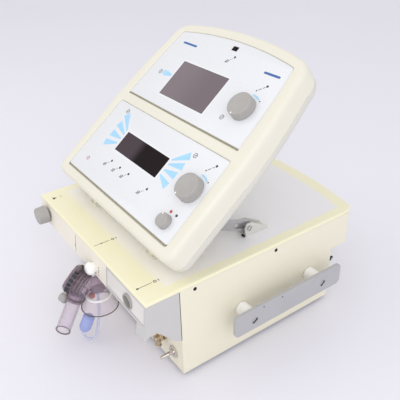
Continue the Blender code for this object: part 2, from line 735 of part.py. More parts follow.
def build_knobs(parent, surfaces):
    """Turned knobs, each one piece with its encoder shaft."""
    for which, (x, up, radius, height) in KNOBS.items():
        skirt = GAP + 0.4 * MM
        profile = [
            (0.0, -14.0 * MM), (SHAFT_RADIUS, -14.0 * MM), (SHAFT_RADIUS, skirt), (radius, skirt),
            (radius - 0.4 * MM, height - 1.2 * MM), (radius - 1.8 * MM, height), (0.0, height),
        ]
        place = (x, up - HINGE_UP, -HINGE_IN)
        lathe(f"{which}_knob", profile, surfaces["knob"], place, Z_AXIS, 32, False, parent)


def build_hinge(parent, surfaces):
    """Fixed eye brackets on the cover and the shaft that turns with the slab."""
    base = TOP_Z + GAP
    eye = arc((depth(HINGE_DEPTH), HINGE_Z), 6.0 * MM, 0, 180, 8)
    foot_front, foot_back = depth(HINGE_DEPTH - 6.0 * MM), depth(HINGE_DEPTH + 6.0 * MM)
    outline = eye + [(foot_front, base), (foot_back, base)]
    for side, word in ((-1, "left"), (1, "right")):
        spans = HINGE_BRACKET_X if side > 0 else (-HINGE_BRACKET_X[1], -HINGE_BRACKET_X[0])
        bracket = prism(f"hinge_bracket_{word}", outline, spans[0], spans[1], surfaces["alloy"], "x")
        flange = box(
            f"hinge_flange_{word}_tool",
            (spans[0] - 6.0 * MM, depth(HINGE_DEPTH - 9.0 * MM), base),
            (spans[1] + 6.0 * MM, depth(HINGE_DEPTH + 12.0 * MM), base + 2.5 * MM),
        )
        boolean(bracket, flange, "UNION")
        hole = rod(
            f"hinge_eye_{word}_tool", HINGE_SHAFT_RADIUS + GAP,
            (spans[0] - MM, depth(HINGE_DEPTH), HINGE_Z), 10.0 * MM, X_AXIS,
            None, 16,
        )
        boolean(bracket, hole)
    rod(
        "hinge_shaft", HINGE_SHAFT_RADIUS, (-107.0 * MM, 0.0, 0.0), 214.0 * MM, X_AXIS,
        surfaces["steel"], 16, parent,
    )


def build_stays(parent, surfaces):
    """Slotted prop arms that swing on the slab, and the brackets whose pins run in their slots."""
    pivot_up, pivot_out = to_slab(STAY_UP, STAY_IN)
    cos, sin = math.cos(TILT), math.sin(TILT)
    pivot_depth = HINGE_DEPTH + pivot_up * cos - pivot_out * sin
    pivot_z = HINGE_Z + pivot_up * sin + pivot_out * cos
    slope = math.atan2(STAY_PIN_Z - pivot_z, STAY_PIN_DEPTH - pivot_depth)
    half = STAY_HALF_HEIGHT
    far = STAY_SLOT[1]
    arm_outline = arc((far, 0.0), half, -90, 90, 8) + arc((0.0, 0.0), 6.0 * MM, 90, 270, 6)
    slot_half = STAY_SLOT_HALF_WIDTH
    slot_outline = arc((far - 2.0 * MM, 0.0), slot_half, -90, 90, 6) + arc(
        (STAY_SLOT[0], 0.0), slot_half, 90, 270, 6,
    )
    base = TOP_Z + GAP
    cheek = [
        (depth(192.0 * MM), base), (depth(191.0 * MM), 166.0 * MM), (depth(194.0 * MM), 173.5 * MM),
        (depth(203.0 * MM), 173.0 * MM), (depth(233.0 * MM), 156.5 * MM), (depth(233.0 * MM), base),
    ]
    for side, word in ((-1, "left"), (1, "right")):
        centre = side * STAY_X
        pivot = Vector((centre, depth(pivot_depth), pivot_z))
        arm_frame = empty(f"stay_{word}_axis", pivot, slope)
        arm = prism(
            f"stay_arm_{word}", arm_outline, -STAY_THICKNESS / 2, STAY_THICKNESS / 2, surfaces["zinc"],
            "x", arm_frame,
        )
        slot = prism(f"stay_slot_{word}_tool", slot_outline, -MM * 6, MM * 6, None, "x", arm_frame)
        boolean(arm, slot)
        rivet = rod(
            f"stay_rivet_{word}_tool", PIVOT_RADIUS, (-14.5 * MM, 0.0, 0.0), 29.0 * MM, X_AXIS, None, 12,
            arm_frame,
        )
        boolean(arm, rivet, "UNION")
        bracket = prism(
            f"stay_bracket_{word}", cheek, centre - 9.5 * MM, centre + 9.5 * MM, surfaces["alloy"], "x",
        )
        gap_cut = box(
            f"stay_gap_{word}_tool",
            (centre - 7.0 * MM, depth(180.0 * MM), base + 1.2 * MM),
            (centre + 7.0 * MM, depth(240.0 * MM), 180.0 * MM),
        )
        boolean(bracket, gap_cut)
        pin_hole = rod(
            f"stay_pin_hole_{word}_tool", PIVOT_RADIUS + GAP,
            (centre - 12.0 * MM, depth(STAY_PIN_DEPTH), STAY_PIN_Z), 24.0 * MM, X_AXIS, None, 12,
        )
        boolean(bracket, pin_hole)
        head = [
            (0.0, 0.0), (PIVOT_RADIUS, 0.0), (PIVOT_RADIUS, 20.0 * MM), (4.0 * MM, 20.0 * MM),
            (4.0 * MM, 22.0 * MM), (0.0, 22.0 * MM),
        ]
        start = Vector((centre - side * 10.2 * MM, depth(STAY_PIN_DEPTH), STAY_PIN_Z))
        lathe(f"stay_pin_{word}", head, surfaces["steel"], start, X_AXIS * side, 12)


def build_display(surfaces):
    axis = empty("display_axis", (0.0, depth(HINGE_DEPTH), HINGE_Z), TILT)
    build_display_bezel(axis, surfaces["ivory"])
    build_display_rear_cover(axis, surfaces["ivory"])
    build_panels(axis, surfaces)
    build_knobs(axis, surfaces)
    build_hinge(axis, surfaces)
    build_stays(axis, surfaces)


# ---------------------------------------------------------------- breathing connections


def build_exhalation_valve(surfaces):
    """Smoked valve body with its turning lock ring, outlet tube, trap bowl and pilot line."""
    centre = VALVE_CENTRE
    body = lathe(
        "valve_body",
        [
            (0.0, -8.0 * MM), (12.0 * MM, -8.0 * MM), (17.5 * MM, -2.0 * MM), (18.0 * MM, 18.0 * MM),
            (15.5 * MM, 18.0 * MM), (15.5 * MM, 2.0 * MM), (0.0, 2.0 * MM),
        ],
        surfaces["smoke"], centre, VALVE_AXIS, 32,
    )
    spigot = rod(
        "valve_spigot_tool", 9.0 * MM, centre + Vector((3.5 * MM, 0.0, 0.0)), 44.0 * MM, BACKWARD, None, 24,
    )
    boolean(body, spigot, "UNION")
    outlet_start = centre + Vector((-9.0 * MM, -9.5 * MM, -16.0 * MM))
    neck = rod("valve_neck_tool", 13.6 * MM, outlet_start - OUTLET_AXIS * 9.0 * MM, 21.0 * MM, OUTLET_AXIS)
    boolean(body, neck, "UNION")
    neck_bore = rod(
        "neck_bore_tool", TUBE_RADIUS + GAP, outlet_start + OUTLET_AXIS * 1.0 * MM, 21.0 * MM, OUTLET_AXIS,
    )
    boolean(body, neck_bore)
    hanger = rod(
        "valve_hanger_tool", 10.5 * MM, centre + Vector((5.0 * MM, 18.0 * MM, -12.0 * MM)), 13.0 * MM,
        Z_AXIS,
    )
    boolean(body, hanger, "UNION")
    chamber = rod(
        "valve_chamber_tool", 15.4 * MM, centre + VALVE_AXIS * 6.0 * MM, 30.0 * MM, VALVE_AXIS, None, 28,
    )
    boolean(body, chamber)
    ring_room = lathe(
        "lock_ring_room_tool",
        [
            (17.9 * MM, 12.4 * MM), (30.0 * MM, 12.4 * MM), (30.0 * MM, 40.0 * MM), (17.9 * MM, 40.0 * MM),
        ],
        None, centre, VALVE_AXIS, 32, True,
    )
    boolean(body, ring_room)

    tube_profile = [
        (TUBE_RADIUS, 0.0), (TUBE_RADIUS, 62.0 * MM), (TUBE_RADIUS - 1.6 * MM, 62.0 * MM),
        (TUBE_RADIUS - 1.6 * MM, 0.0),
    ]
    lathe(
        "outlet_tube", tube_profile, surfaces["clear"], outlet_start + OUTLET_AXIS * 1.4 * MM,
        OUTLET_AXIS, 24, True,
    )

    ring_profile = [
        (0.0, 24.0 * MM), (20.0 * MM, 24.0 * MM), (22.0 * MM, 21.0 * MM), (22.0 * MM, 13.0 * MM),
        (18.4 * MM, 13.0 * MM), (18.4 * MM, 21.5 * MM), (0.0, 21.5 * MM),
    ]
    ring = lathe("valve_lock_ring", ring_profile, surfaces["smoke"], centre, VALVE_AXIS, 32)
    lever_direction = Vector((0.48, 0.17, 0.86))
    lever_direction -= VALVE_AXIS * lever_direction.dot(VALVE_AXIS)
    lever_direction.normalize()
    lever_start = centre + VALVE_AXIS * 17.0 * MM + lever_direction * 18.5 * MM
    lever = rod("lock_lever_tool", 3.8 * MM, lever_start, 12.5 * MM, lever_direction, None, 16)
    boolean(ring, lever, "UNION")

    lathe(
        "valve_diaphragm",
        [
            (0.0, 15.0 * MM), (6.0 * MM, 15.0 * MM), (9.0 * MM, 13.0 * MM), (14.5 * MM, 13.0 * MM),
            (14.5 * MM, 14.0 * MM), (9.6 * MM, 14.0 * MM), (6.6 * MM, 16.0 * MM), (0.0, 16.0 * MM),
        ],
        surfaces["rubber"], centre, VALVE_AXIS, 24,
    )
    bowl_top = Vector((centre.x + 5.0 * MM, centre.y + 18.0 * MM, BOWL_TOP_Z))
    lathe(
        "trap_bowl",
        [
            (0.0, 0.0), (12.0 * MM, 0.0), (16.0 * MM, 6.0 * MM), (24.0 * MM, 20.0 * MM),
            (28.5 * MM, 29.0 * MM),
            (26.8 * MM, 29.0 * MM), (22.4 * MM, 20.5 * MM), (14.6 * MM, 7.5 * MM), (11.0 * MM, 2.0 * MM),
            (0.0, 2.0 * MM),
        ],
        surfaces["clear"], bowl_top, -Z_AXIS, 32,
    )
    tap_axis = Vector((-0.93, -0.37, 0.0))
    tap_axis -= OUTLET_AXIS * tap_axis.dot(OUTLET_AXIS)
    tap_axis.normalize()
    tap_start = outlet_start + OUTLET_AXIS * 20.0 * MM + tap_axis * (TUBE_RADIUS + 1.6 * MM)
    lathe(
        "pressure_port",
        [(0.0, 0.0), (5.0 * MM, 0.0), (7.0 * MM, 3.0 * MM), (7.0 * MM, 12.0 * MM), (0.0, 12.0 * MM)],
        surfaces["knob"], tap_start, tap_axis, 20,
    )
    connector_start = Vector((32.0 * MM, FRONT_Y - 22.5 * MM, 46.5 * MM))
    connector_axis = Vector((-0.10, -0.42, -0.90)).normalized()
    lathe(
        "pilot_connector",
        [
            (0.0, 0.0), (6.0 * MM, 0.0), (9.0 * MM, 3.0 * MM), (9.0 * MM, 22.0 * MM), (6.5 * MM, 27.0 * MM),
            (0.0, 27.0 * MM),
        ],
        surfaces["blue"], connector_start, connector_axis, 24,
    )
    hose_start = connector_start + connector_axis * 27.3 * MM
    build_pilot_hose(hose_start, connector_axis, surfaces["clear"])


def build_pilot_hose(start, leaving, surface):
    """Clear 4 mm line: out of the connector's tip, round a half turn and up inside the trap bowl."""
    across = Vector((0.60, 0.80, 0.0))
    across -= leaving * across.dot(leaving)
    across.normalize()
    bend = 10.0 * MM
    turn_start = start + leaving * 2.0 * MM
    points = [start]
    for step in range(13):
        angle = math.pi * step / 12
        points.append(
            turn_start + across * bend * (1.0 - math.cos(angle)) + leaving * bend * math.sin(angle)
        )
    rise_start = points[-1]
    end = Vector((29.0 * MM, FRONT_Y - 4.0 * MM, BOWL_TOP_Z - 2.4 * MM))
    first = rise_start - leaving * 18.0 * MM
    second = end - Z_AXIS * 24.0 * MM
    for step in range(1, 17):
        t = step / 16
        points.append(
            rise_start * (1 - t) ** 3 + first * 3 * t * (1 - t) ** 2
            + second * 3 * t * t * (1 - t) + end * t**3
        )
    curve = bpy.data.curves.new("pilot_hose", "CURVE")
    curve.dimensions = "3D"
    curve.bevel_depth = HOSE_RADIUS
    curve.bevel_resolution = 2
    curve.use_fill_caps = True
    spline = curve.splines.new("POLY")
    spline.points.add(len(points) - 1)
    for target, point in zip(spline.points, points):
        target.co = (*point, 1.0)
    curve.materials.append(surface)
    hose = bpy.data.objects.new("pilot_hose", curve)
    bpy.context.scene.collection.objects.link(hose)


def build_front_fittings(surfaces):
    """Release button, flow knob, gas nipple and oxygen elbow at the front."""
    button = [
        (0.0, 0.0), (5.4 * MM, 0.8 * MM), (8.6 * MM, 3.5 * MM), (9.8 * MM, 7.5 * MM), (9.8 * MM, 9.5 * MM),
        (7.9 * MM, 9.5 * MM), (7.9 * MM, 20.0 * MM), (0.0, 20.0 * MM),
    ]
    button_face = BUTTON_CENTRE - BACKWARD * 9.5 * MM
    lathe("release_button", button, surfaces["ivory"], button_face, BACKWARD, 28)
    radius = FRONT_KNOB_RADIUS
    knob = [
        (0.0, 0.0), (radius - 2.0 * MM, 0.0), (radius - 0.4 * MM, 1.6 * MM), (radius, 17.6 * MM),
        (4.0 * MM, 17.6 * MM),
        (4.0 * MM, 36.0 * MM), (0.0, 36.0 * MM),
    ]
    lathe("flow_knob", knob, surfaces["knob"], FRONT_KNOB_CENTRE - BACKWARD * 18.4 * MM, BACKWARD, 28)
    nipple = [
        (0.0, -22.5 * MM), (1.6 * MM, -22.5 * MM), (2.8 * MM, -21.5 * MM), (2.8 * MM, -5.0 * MM),
        (5.0 * MM, -4.0 * MM),
        (5.0 * MM, -2.6 * MM), (9.6 * MM, -2.0 * MM), (9.6 * MM, -GAP), (0.0, -GAP),
    ]
    lathe("gas_nipple", nipple, surfaces["steel"], NIPPLE_CENTRE, BACKWARD, 20)
    elbow = Vector((124.0 * MM, depth(CHASSIS_DEPTH) - GAP, 38.0 * MM))
    fitting = lathe(
        "oxygen_fitting",
        [
            (0.0, -16.0 * MM), (4.5 * MM, -16.0 * MM), (5.0 * MM, -15.0 * MM), (5.0 * MM, -4.0 * MM),
            (7.5 * MM, -3.5 * MM),
            (7.5 * MM, 0.0), (0.0, 0.0),
        ],
        surfaces["brass"], elbow, BACKWARD, 16,
    )
    down = rod(
        "elbow_drop_tool", 3.6 * MM, elbow + Vector((0.0, -10.5 * MM, -13.0 * MM)), 14.0 * MM, Z_AXIS,
        None, 12,
    )
    boolean(fitting, down, "UNION")


# ---------------------------------------------------------------- inside and rear


def build_inside(surfaces):
    """Power supply, battery, gas block, main board, blower and cooling fan."""
    floor = SHEET + 2.0 * MM
    inner = depth(CHASSIS_DEPTH)
    box(
        "power_supply", (-160.0 * MM, inner + 150.0 * MM, floor),
        (-70.0 * MM, inner + 252.0 * MM, 62.0 * MM),
        surfaces["zinc"], 1.5 * MM,
    )
    box(
        "battery_pack", (-160.0 * MM, inner + 20.0 * MM, floor),
        (-60.0 * MM, inner + 130.0 * MM, 66.0 * MM),
        surfaces["black"], 2.0 * MM,
    )
    block = box(
        "gas_manifold", (100.0 * MM, inner + 14.0 * MM, floor), (160.0 * MM, inner + 110.0 * MM, 60.0 * MM),
        surfaces["alloy"], 1.0 * MM,
    )
    for row in range(3):
        valve = rod(
            f"solenoid_{row}_tool", 9.0 * MM, (130.0 * MM, inner + (32.0 + 28.0 * row) * MM, 55.0 * MM),
            28.0 * MM,
            Z_AXIS, None, 16,
        )
        boolean(block, valve, "UNION")
    board = box(
        "main_board", (-150.0 * MM, inner + 20.0 * MM, BOARD_Z),
        (150.0 * MM, inner + 260.0 * MM, BOARD_Z + 1.6 * MM),
        surfaces["board"],
    )
    for index, (x, d, size, height) in enumerate(
        (
            (-90.0, 70.0, 30.0, 8.0), (-20.0, 120.0, 24.0, 5.0), (60.0, 80.0, 18.0, 12.0),
            (90.0, 200.0, 26.0, 10.0),
        )
    ):
        chip = box(
            f"component_{index}_tool",
            ((x - size / 2) * MM, inner + (d - size / 2) * MM, BOARD_Z + MM),
            ((x + size / 2) * MM, inner + (d + size / 2) * MM, BOARD_Z + height * MM),
        )
        boolean(board, chip, "UNION")

    housing = [
        (0.0, 0.0), (48.0 * MM, 0.0), (50.0 * MM, 2.0 * MM), (50.0 * MM, 56.0 * MM), (48.0 * MM, 58.0 * MM),
        (18.0 * MM, 58.0 * MM), (18.0 * MM, 55.0 * MM), (47.0 * MM, 55.0 * MM), (47.0 * MM, 3.0 * MM),
        (0.0, 3.0 * MM),
    ]
    lathe("blower_housing", housing, surfaces["black"], BLOWER_CENTRE, Z_AXIS, 32)
    rotor = lathe(
        "blower_rotor",
        [
            (0.0, 4.0 * MM), (42.0 * MM, 4.0 * MM), (42.0 * MM, 7.0 * MM), (12.0 * MM, 9.0 * MM),
            (8.0 * MM, 40.0 * MM),
            (0.0, 42.0 * MM),
        ],
        surfaces["alloy"], BLOWER_CENTRE, Z_AXIS, 24,
    )
    for blade in range(BLOWER_BLADES):
        turn = Matrix.Rotation(math.tau * blade / BLOWER_BLADES, 4, "Z")
        bm = box_bmesh((9.0 * MM, -1.0 * MM, 5.0 * MM), (41.0 * MM, 1.0 * MM, 26.0 * MM))
        bmesh.ops.transform(bm, matrix=Matrix.Translation(BLOWER_CENTRE) @ turn, verts=bm.verts)
        boolean(rotor, finish_bmesh(bm, f"blower_blade_{blade}_tool"), "UNION")

    frame = box(
        "fan_frame",
        FAN_CENTRE + Vector((-FAN_HALF, -10.0 * MM, -FAN_HALF)),
        FAN_CENTRE + Vector((FAN_HALF, 10.0 * MM, FAN_HALF)), surfaces["black"],
    )
    tunnel = rod(
        "fan_tunnel_tool", 27.5 * MM, FAN_CENTRE - BACKWARD * 20.0 * MM, 40.0 * MM, BACKWARD, None, 28,
    )
    boolean(frame, tunnel)
    fan = lathe(
        "fan_rotor", [(0.0, -8.0 * MM), (11.0 * MM, -8.0 * MM), (12.0 * MM, 7.0 * MM), (0.0, 7.0 * MM)],
        surfaces["black"], FAN_CENTRE, BACKWARD, 20,
    )
    for blade in range(FAN_BLADES):
        turn = Matrix.Rotation(math.tau * blade / FAN_BLADES, 4, "Y") @ Matrix.Rotation(
            math.radians(35.0), 4, "X",
        )
        bm = box_bmesh((8.0 * MM, -8.0 * MM, -0.8 * MM), (25.5 * MM, 8.0 * MM, 0.8 * MM))
        bmesh.ops.transform(bm, matrix=Matrix.Translation(FAN_CENTRE) @ turn, verts=bm.verts)
        boolean(fan, finish_bmesh(bm, f"fan_blade_{blade}_tool"), "UNION")

    c = INLET_CENTRE
    inlet = box(
        "mains_inlet", c + Vector((-14.0 * MM, -22.0 * MM, -24.0 * MM)),
        c + Vector((14.0 * MM, 2.0 * MM, 24.0 * MM)),
        surfaces["black"],
    )
    flange = box(
        "inlet_flange_tool", c + Vector((-17.0 * MM, GAP, -27.0 * MM)),
        c + Vector((17.0 * MM, 2.5 * MM, 27.0 * MM)),
    )
    boolean(inlet, flange, "UNION")
    socket = box(
        "inlet_socket_tool", c + Vector((-11.5 * MM, -15.0 * MM, -20.0 * MM)),
        c + Vector((11.5 * MM, 8.0 * MM, -4.0 * MM)),
    )
    boolean(inlet, socket)
    well = box(
        "rocker_well_tool", c + Vector((-10.0 * MM, -9.0 * MM, 3.0 * MM)),
        c + Vector((10.0 * MM, 8.0 * MM, 20.0 * MM)),
    )
    boolean(inlet, well)
    pivot = c + Vector((0.0, -2.0 * MM, 11.5 * MM))
    rocker_outline = [
        (-4.0 * MM, -5.0 * MM), (2.5 * MM, -7.5 * MM), (4.2 * MM, -7.0 * MM), (3.0 * MM, 0.0),
        (5.6 * MM, 7.0 * MM),
        (3.5 * MM, 7.5 * MM), (-4.0 * MM, 5.0 * MM),
    ]
    finish_bmesh(
        prism_bmesh(rocker_outline, -9.5 * MM, 9.5 * MM, "x"), "power_rocker", surfaces["black"], None,
        pivot,
    )


def main():
    clear_scene()
    surfaces = finishes()
    build_case(surfaces)
    build_rails(surfaces)
    build_display(surfaces)
    build_exhalation_valve(surfaces)
    build_front_fittings(surfaces)
    build_inside(surfaces)


main()
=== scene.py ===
"""Looks of a bench-top lung ventilator, laid over its fixed frame of solids.

Lengths in the code are millimetres unless a name says otherwise; meshes are made in metres.
"""

import json
import math

import bmesh
import bpy
import numpy as np
from mathutils import Matrix, Vector
from mathutils.geometry import tessellate_polygon

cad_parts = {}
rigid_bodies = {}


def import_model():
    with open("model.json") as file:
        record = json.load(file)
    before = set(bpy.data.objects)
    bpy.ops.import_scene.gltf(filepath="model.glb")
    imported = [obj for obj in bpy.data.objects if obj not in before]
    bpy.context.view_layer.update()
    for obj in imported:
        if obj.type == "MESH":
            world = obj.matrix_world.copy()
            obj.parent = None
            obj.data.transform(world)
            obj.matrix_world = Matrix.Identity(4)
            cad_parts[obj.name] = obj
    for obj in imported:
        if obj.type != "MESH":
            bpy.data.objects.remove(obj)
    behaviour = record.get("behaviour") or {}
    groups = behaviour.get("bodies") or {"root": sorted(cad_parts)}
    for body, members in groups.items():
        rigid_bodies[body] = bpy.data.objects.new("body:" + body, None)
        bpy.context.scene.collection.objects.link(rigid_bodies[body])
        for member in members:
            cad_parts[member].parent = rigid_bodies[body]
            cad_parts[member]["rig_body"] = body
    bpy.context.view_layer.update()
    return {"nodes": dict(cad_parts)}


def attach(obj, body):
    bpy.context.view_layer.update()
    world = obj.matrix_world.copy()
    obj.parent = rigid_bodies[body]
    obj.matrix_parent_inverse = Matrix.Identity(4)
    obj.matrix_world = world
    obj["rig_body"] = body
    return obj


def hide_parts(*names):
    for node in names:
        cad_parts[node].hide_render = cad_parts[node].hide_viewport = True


bl_info = {
    "name": "Lung ventilator looks",
    "version": (1, 0, 0),
    "blender": (4, 5, 0),
    "location": "3D View > Sidebar > Ventilator",
    "description": "Builds the visible surfaces and finishes of a bench-top lung ventilator",
    "category": "Object",
}

MM = 0.001
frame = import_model()
NODES = frame["nodes"]

ACROSS = np.array([1.0, 0.0, 0.0])
BACKWARD = np.array([0.0, 1.0, 0.0])
DOWN = (0, 0, -1)


def unit(*parts):
    """Vector of length 1."""
    return np.array(parts) / np.linalg.norm(parts)


def placed(start, across, up, out):
    """Map from (a, b, c) to the world place start + a across + b up + c out."""
    def place(points):
        p = np.asarray(points, float)
        return start + p[..., :1] * across + p[..., 1:2] * up + p[..., 2:3] * out
    return place


# Places that the solids share, in millimetres
FRONT_Y = -192.0
REAR_Y = FRONT_Y + 334.0
LID_TOP = 152.72
SIDE_FACE = 172.4
RAIL_FACE = 203.0
TILT = math.radians(38.8)
HINGE = np.array([0.0, FRONT_Y + 64.4, 173.8])
SLAB_UP = np.array([0.0, math.cos(TILT), math.sin(TILT)])
SLAB_OUT = np.array([0.0, -math.sin(TILT), math.cos(TILT)])
SLAB_START = HINGE + SLAB_UP * 10.0 + SLAB_OUT * 35.0
SLAB_ARC = 693.0
FRAME_LEVEL, FIELD_LEVEL, SEAT_LEVEL, SHELL_FOOT = 1.5, -1.6, -5.0, -28.8
FRAME_ROUND = 6.5
UPPER_SCREEN = (-75.0, 39.2, 171.6, 236.5)
LOWER_SCREEN = (-72.4, 46.6, 59.7, 94.6)
# Knobs: across, up, radius, height, and the angle of the white dot in degrees
KNOBS = {
    "upper": (101.3, 204.0, 19.0, 14.0, 269.0),
    "lower": (120.2, 75.2, 19.5, 14.0, 249.0),
    "small": (119.0, 21.5, 10.8, 10.0, 116.0),
}
VALVE = np.array([20.0, FRONT_Y - 19.0, 94.0])
VALVE_AXIS = unit(-0.70, -0.50, 0.50)
OUTLET_AXIS = unit(0.0, -0.484, -0.875)
OUTLET_START = VALVE + np.array([-9.0, -9.5, -16.0])
BOWL_TOP = np.array([25.0, FRONT_Y - 1.0, 80.8])
HOOD_TOP = np.array([0.0, FRONT_Y, 148.25])

# Slab place (x, up, out) to world: across, up along the slope, and out along its normal
slab = placed(SLAB_START, ACROSS, SLAB_UP, SLAB_OUT)


# ---------------------------------------------------------------- numbers to places


def plain(points):
    """World place, left as it is."""
    return np.asarray(points, float)


def axes_for(axis):
    """Two unit vectors square to an axis and to each other."""
    axis = np.asarray(axis, float) / np.linalg.norm(axis)
    helper = np.array([0.0, 0.0, 1.0]) if abs(axis[2]) < 0.9 else np.array([0.0, 1.0, 0.0])
    first = np.cross(helper, axis)
    first /= np.linalg.norm(first)
    return first, np.cross(axis, first), axis


def arc(centre, radius, start, end, steps):
    """Points centre + radius (cos a, sin a), with a from start to end degrees."""
    a = np.radians(np.linspace(start, end, steps + 1))
    return np.stack([centre[0] + radius * np.cos(a), centre[1] + radius * np.sin(a)], 1)


def rounded(x0, x1, y0, y1, radius, steps=6):
    """Rectangle whose corners are quarter circles, anticlockwise."""
    return np.concatenate([
        arc((x1 - radius, y0 + radius), radius, -90, 0, steps),
        arc((x1 - radius, y1 - radius), radius, 0, 90, steps),
        arc((x0 + radius, y1 - radius), radius, 90, 180, steps),
        arc((x0 + radius, y0 + radius), radius, 180, 270, steps),
    ])


def inset(outline, distance):
    """Each point of an anticlockwise outline moved inwards along the bisector of its two sides."""
    before = outline - np.roll(outline, 1, 0)
    after = np.roll(outline, -1, 0) - outline
    before /= np.linalg.norm(before, axis=1, keepdims=True)
    after /= np.linalg.norm(after, axis=1, keepdims=True)
    normal = np.stack([-(before[:, 1] + after[:, 1]), before[:, 0] + after[:, 0]], 1)
    return outline + normal * distance / (1.0 + (before * after).sum(1, keepdims=True))


def smooth_line(points, steps):
    """Catmull-Rom curve: each stretch is a cubic whose ends lean along the chord of its neighbours."""
    p = np.asarray(points, float)
    p = np.concatenate([2 * p[:1] - p[1:2], p, 2 * p[-1:] - p[-2:-1]])
    t = (np.arange(steps) / steps)[None, :, None]
    a, b, c, d = p[:-3, None], p[1:-2, None], p[2:-1, None], p[3:, None]
    curve = 0.5 * (
        2 * b + (c - a) * t + (2 * a - 5 * b + 4 * c - d) * t**2 + (3 * b - a - 3 * c + d) * t**3
    )
    return np.concatenate([curve.reshape(-1, p.shape[1]), p[-2:-1]])


# ---------------------------------------------------------------- meshes


def make_piece(name, parts, material, body, replaces=(), sharp=35.0):
    """One object from (points in mm, faces) parts: doubles merged, smooth below the sharp angle."""
    bm = bmesh.new()
    for points, faces in parts:
        verts = [bm.verts.new(p) for p in (np.asarray(points, float) * MM).reshape(-1, 3).tolist()]
        for face in faces:
            ring = [verts[i] for i in face]
            if len(set(ring)) > 2:
                try:
                    bm.faces.new(ring)
                except ValueError:
                    continue
    bmesh.ops.remove_doubles(bm, verts=bm.verts, dist=1e-7)
    bmesh.ops.dissolve_degenerate(bm, edges=bm.edges, dist=1e-8)
    bmesh.ops.recalc_face_normals(bm, faces=bm.faces)
    mesh = bpy.data.meshes.new(name)
    bm.to_mesh(mesh)
    bm.free()
    return add_piece(name, mesh, material, body, replaces, sharp)


def add_piece(name, mesh, material, body, replaces=(), sharp=35.0):
    """One object in the frame: its finish, the body it rides on and the solids it stands for."""
    mesh.shade_smooth()
    mesh.set_sharp_from_angle(angle=math.radians(sharp))
    piece = bpy.data.objects.new(name, mesh)
    bpy.context.scene.collection.objects.link(piece)
    mesh.materials.clear()
    mesh.materials.append(bpy.data.materials[material])
    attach(piece, body)
    if replaces:
        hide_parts(*replaces)
    return piece


def strip_faces(rows, cols, wrap=True):
    """Quads between neighbouring rows of a grid, closing each row on itself where it wraps."""
    r = np.arange(rows - 1)[:, None]
    c = np.arange(cols if wrap else cols - 1)[None, :]
    a, b = r * cols + c, r * cols + (c + 1) % cols
    return np.stack([a, b, b + cols, a + cols], -1).reshape(-1, 4).tolist()


def rings(loops, caps=(False, False)):
    """Surface through loops of equal count, with a flat cap on the first or the last."""
    grid = np.stack(loops)
    rows, cols = grid.shape[:2]
    faces = strip_faces(rows, cols)
    if caps[0]:
        faces.append(list(range(cols)))
    if caps[1]:
        faces.append(list(range((rows - 1) * cols, rows * cols)))
    return grid.reshape(-1, 3), faces


def turned(profile, centre, axis, segments=48, radius_factor=None):
    """Solid of revolution: centre + r (cos a e1 + sin a e2) + h axis, over profile points (r, h)."""
    e1, e2, e3 = axes_for(axis)
    a = np.arange(segments) * math.tau / segments
    r, h = np.asarray(profile, float).T
    factor = np.ones((len(r), segments)) if radius_factor is None else radius_factor(r, h, a)
    ring = np.cos(a)[None, :, None] * e1 + np.sin(a)[None, :, None] * e2
    grid = np.asarray(centre, float) + (r[:, None] * factor)[..., None] * ring + h[:, None, None] * e3
    return grid.reshape(-1, 3), strip_faces(len(r), segments)


def tube(path, radius, segments=16, caps=True):
    """Circle carried along a path, square to it, with the frame turned by the least at each step."""
    p = np.asarray(path, float)
    tangent = np.gradient(p, axis=0)
    tangent /= np.linalg.norm(tangent, axis=1, keepdims=True)
    normal = axes_for(tangent[0])[0]
    normals = []
    for t in tangent:
        normal = normal - t * normal.dot(t)
        normal /= np.linalg.norm(normal)
        normals.append(normal)
    normals = np.array(normals)
    a = np.arange(segments) * math.tau / segments
    radius = np.broadcast_to(np.asarray(radius, float), (len(p),))[:, None, None]
    sides = np.cross(tangent, normals)[:, None]
    ring = np.cos(a)[None, :, None] * normals[:, None] + np.sin(a)[None, :, None] * sides
    return rings(list(p[:, None] + ring * radius), (caps, caps))


def plate(outline, low, high, holes=(), place=plain, edge=0.0):
    """Flat plate between two heights, with holes; its top edge may be rounded off by a quarter circle."""
    loops = [np.asarray(outline, float)] + [np.asarray(h, float) for h in holes]
    parts = []
    tops, bottoms = [], []
    for index, loop in enumerate(loops):
        sign = 1.0 if index == 0 else -1.0
        levels = [(0.0, low)]
        levels += [
            (edge * (1 - math.cos(a)), high - edge * (1 - math.sin(a))) for a in np.linspace(
                0, math.pi / 2, 4,
            )
        ]
        if edge == 0.0:
            levels = [(0.0, low), (0.0, high)]
        stack = []
        for step, height in levels:
            moved = inset(loop, sign * step) if step else loop
            stack.append(place(np.concatenate([moved, np.full((len(moved), 1), height)], 1)))
            top2d = moved
        parts.append(rings(stack))
        tops.append(top2d)
        bottoms.append(loop)
    for flat, height in ((tops, high), (bottoms, low)):
        points = np.concatenate(flat)
        triangles = tessellate_polygon([[Vector((*p, 0.0)) for p in loop] for loop in flat])
        lifted = place(np.concatenate([points, np.full((len(points), 1), height)], 1))
        parts.append((lifted, [list(t) for t in triangles]))
    return parts


def disc(x, y, radius, steps=20):
    """Circle as an outline whose last point stops short of its first."""
    return arc((x, y), radius, 0, 360.0 * (steps - 1) / steps, steps - 1)


def block(low, high):
    """Box as a plate."""
    outline = [(low[0], low[1]), (high[0], low[1]), (high[0], high[1]), (low[0], high[1])]
    return plate(outline, low[2], high[2])


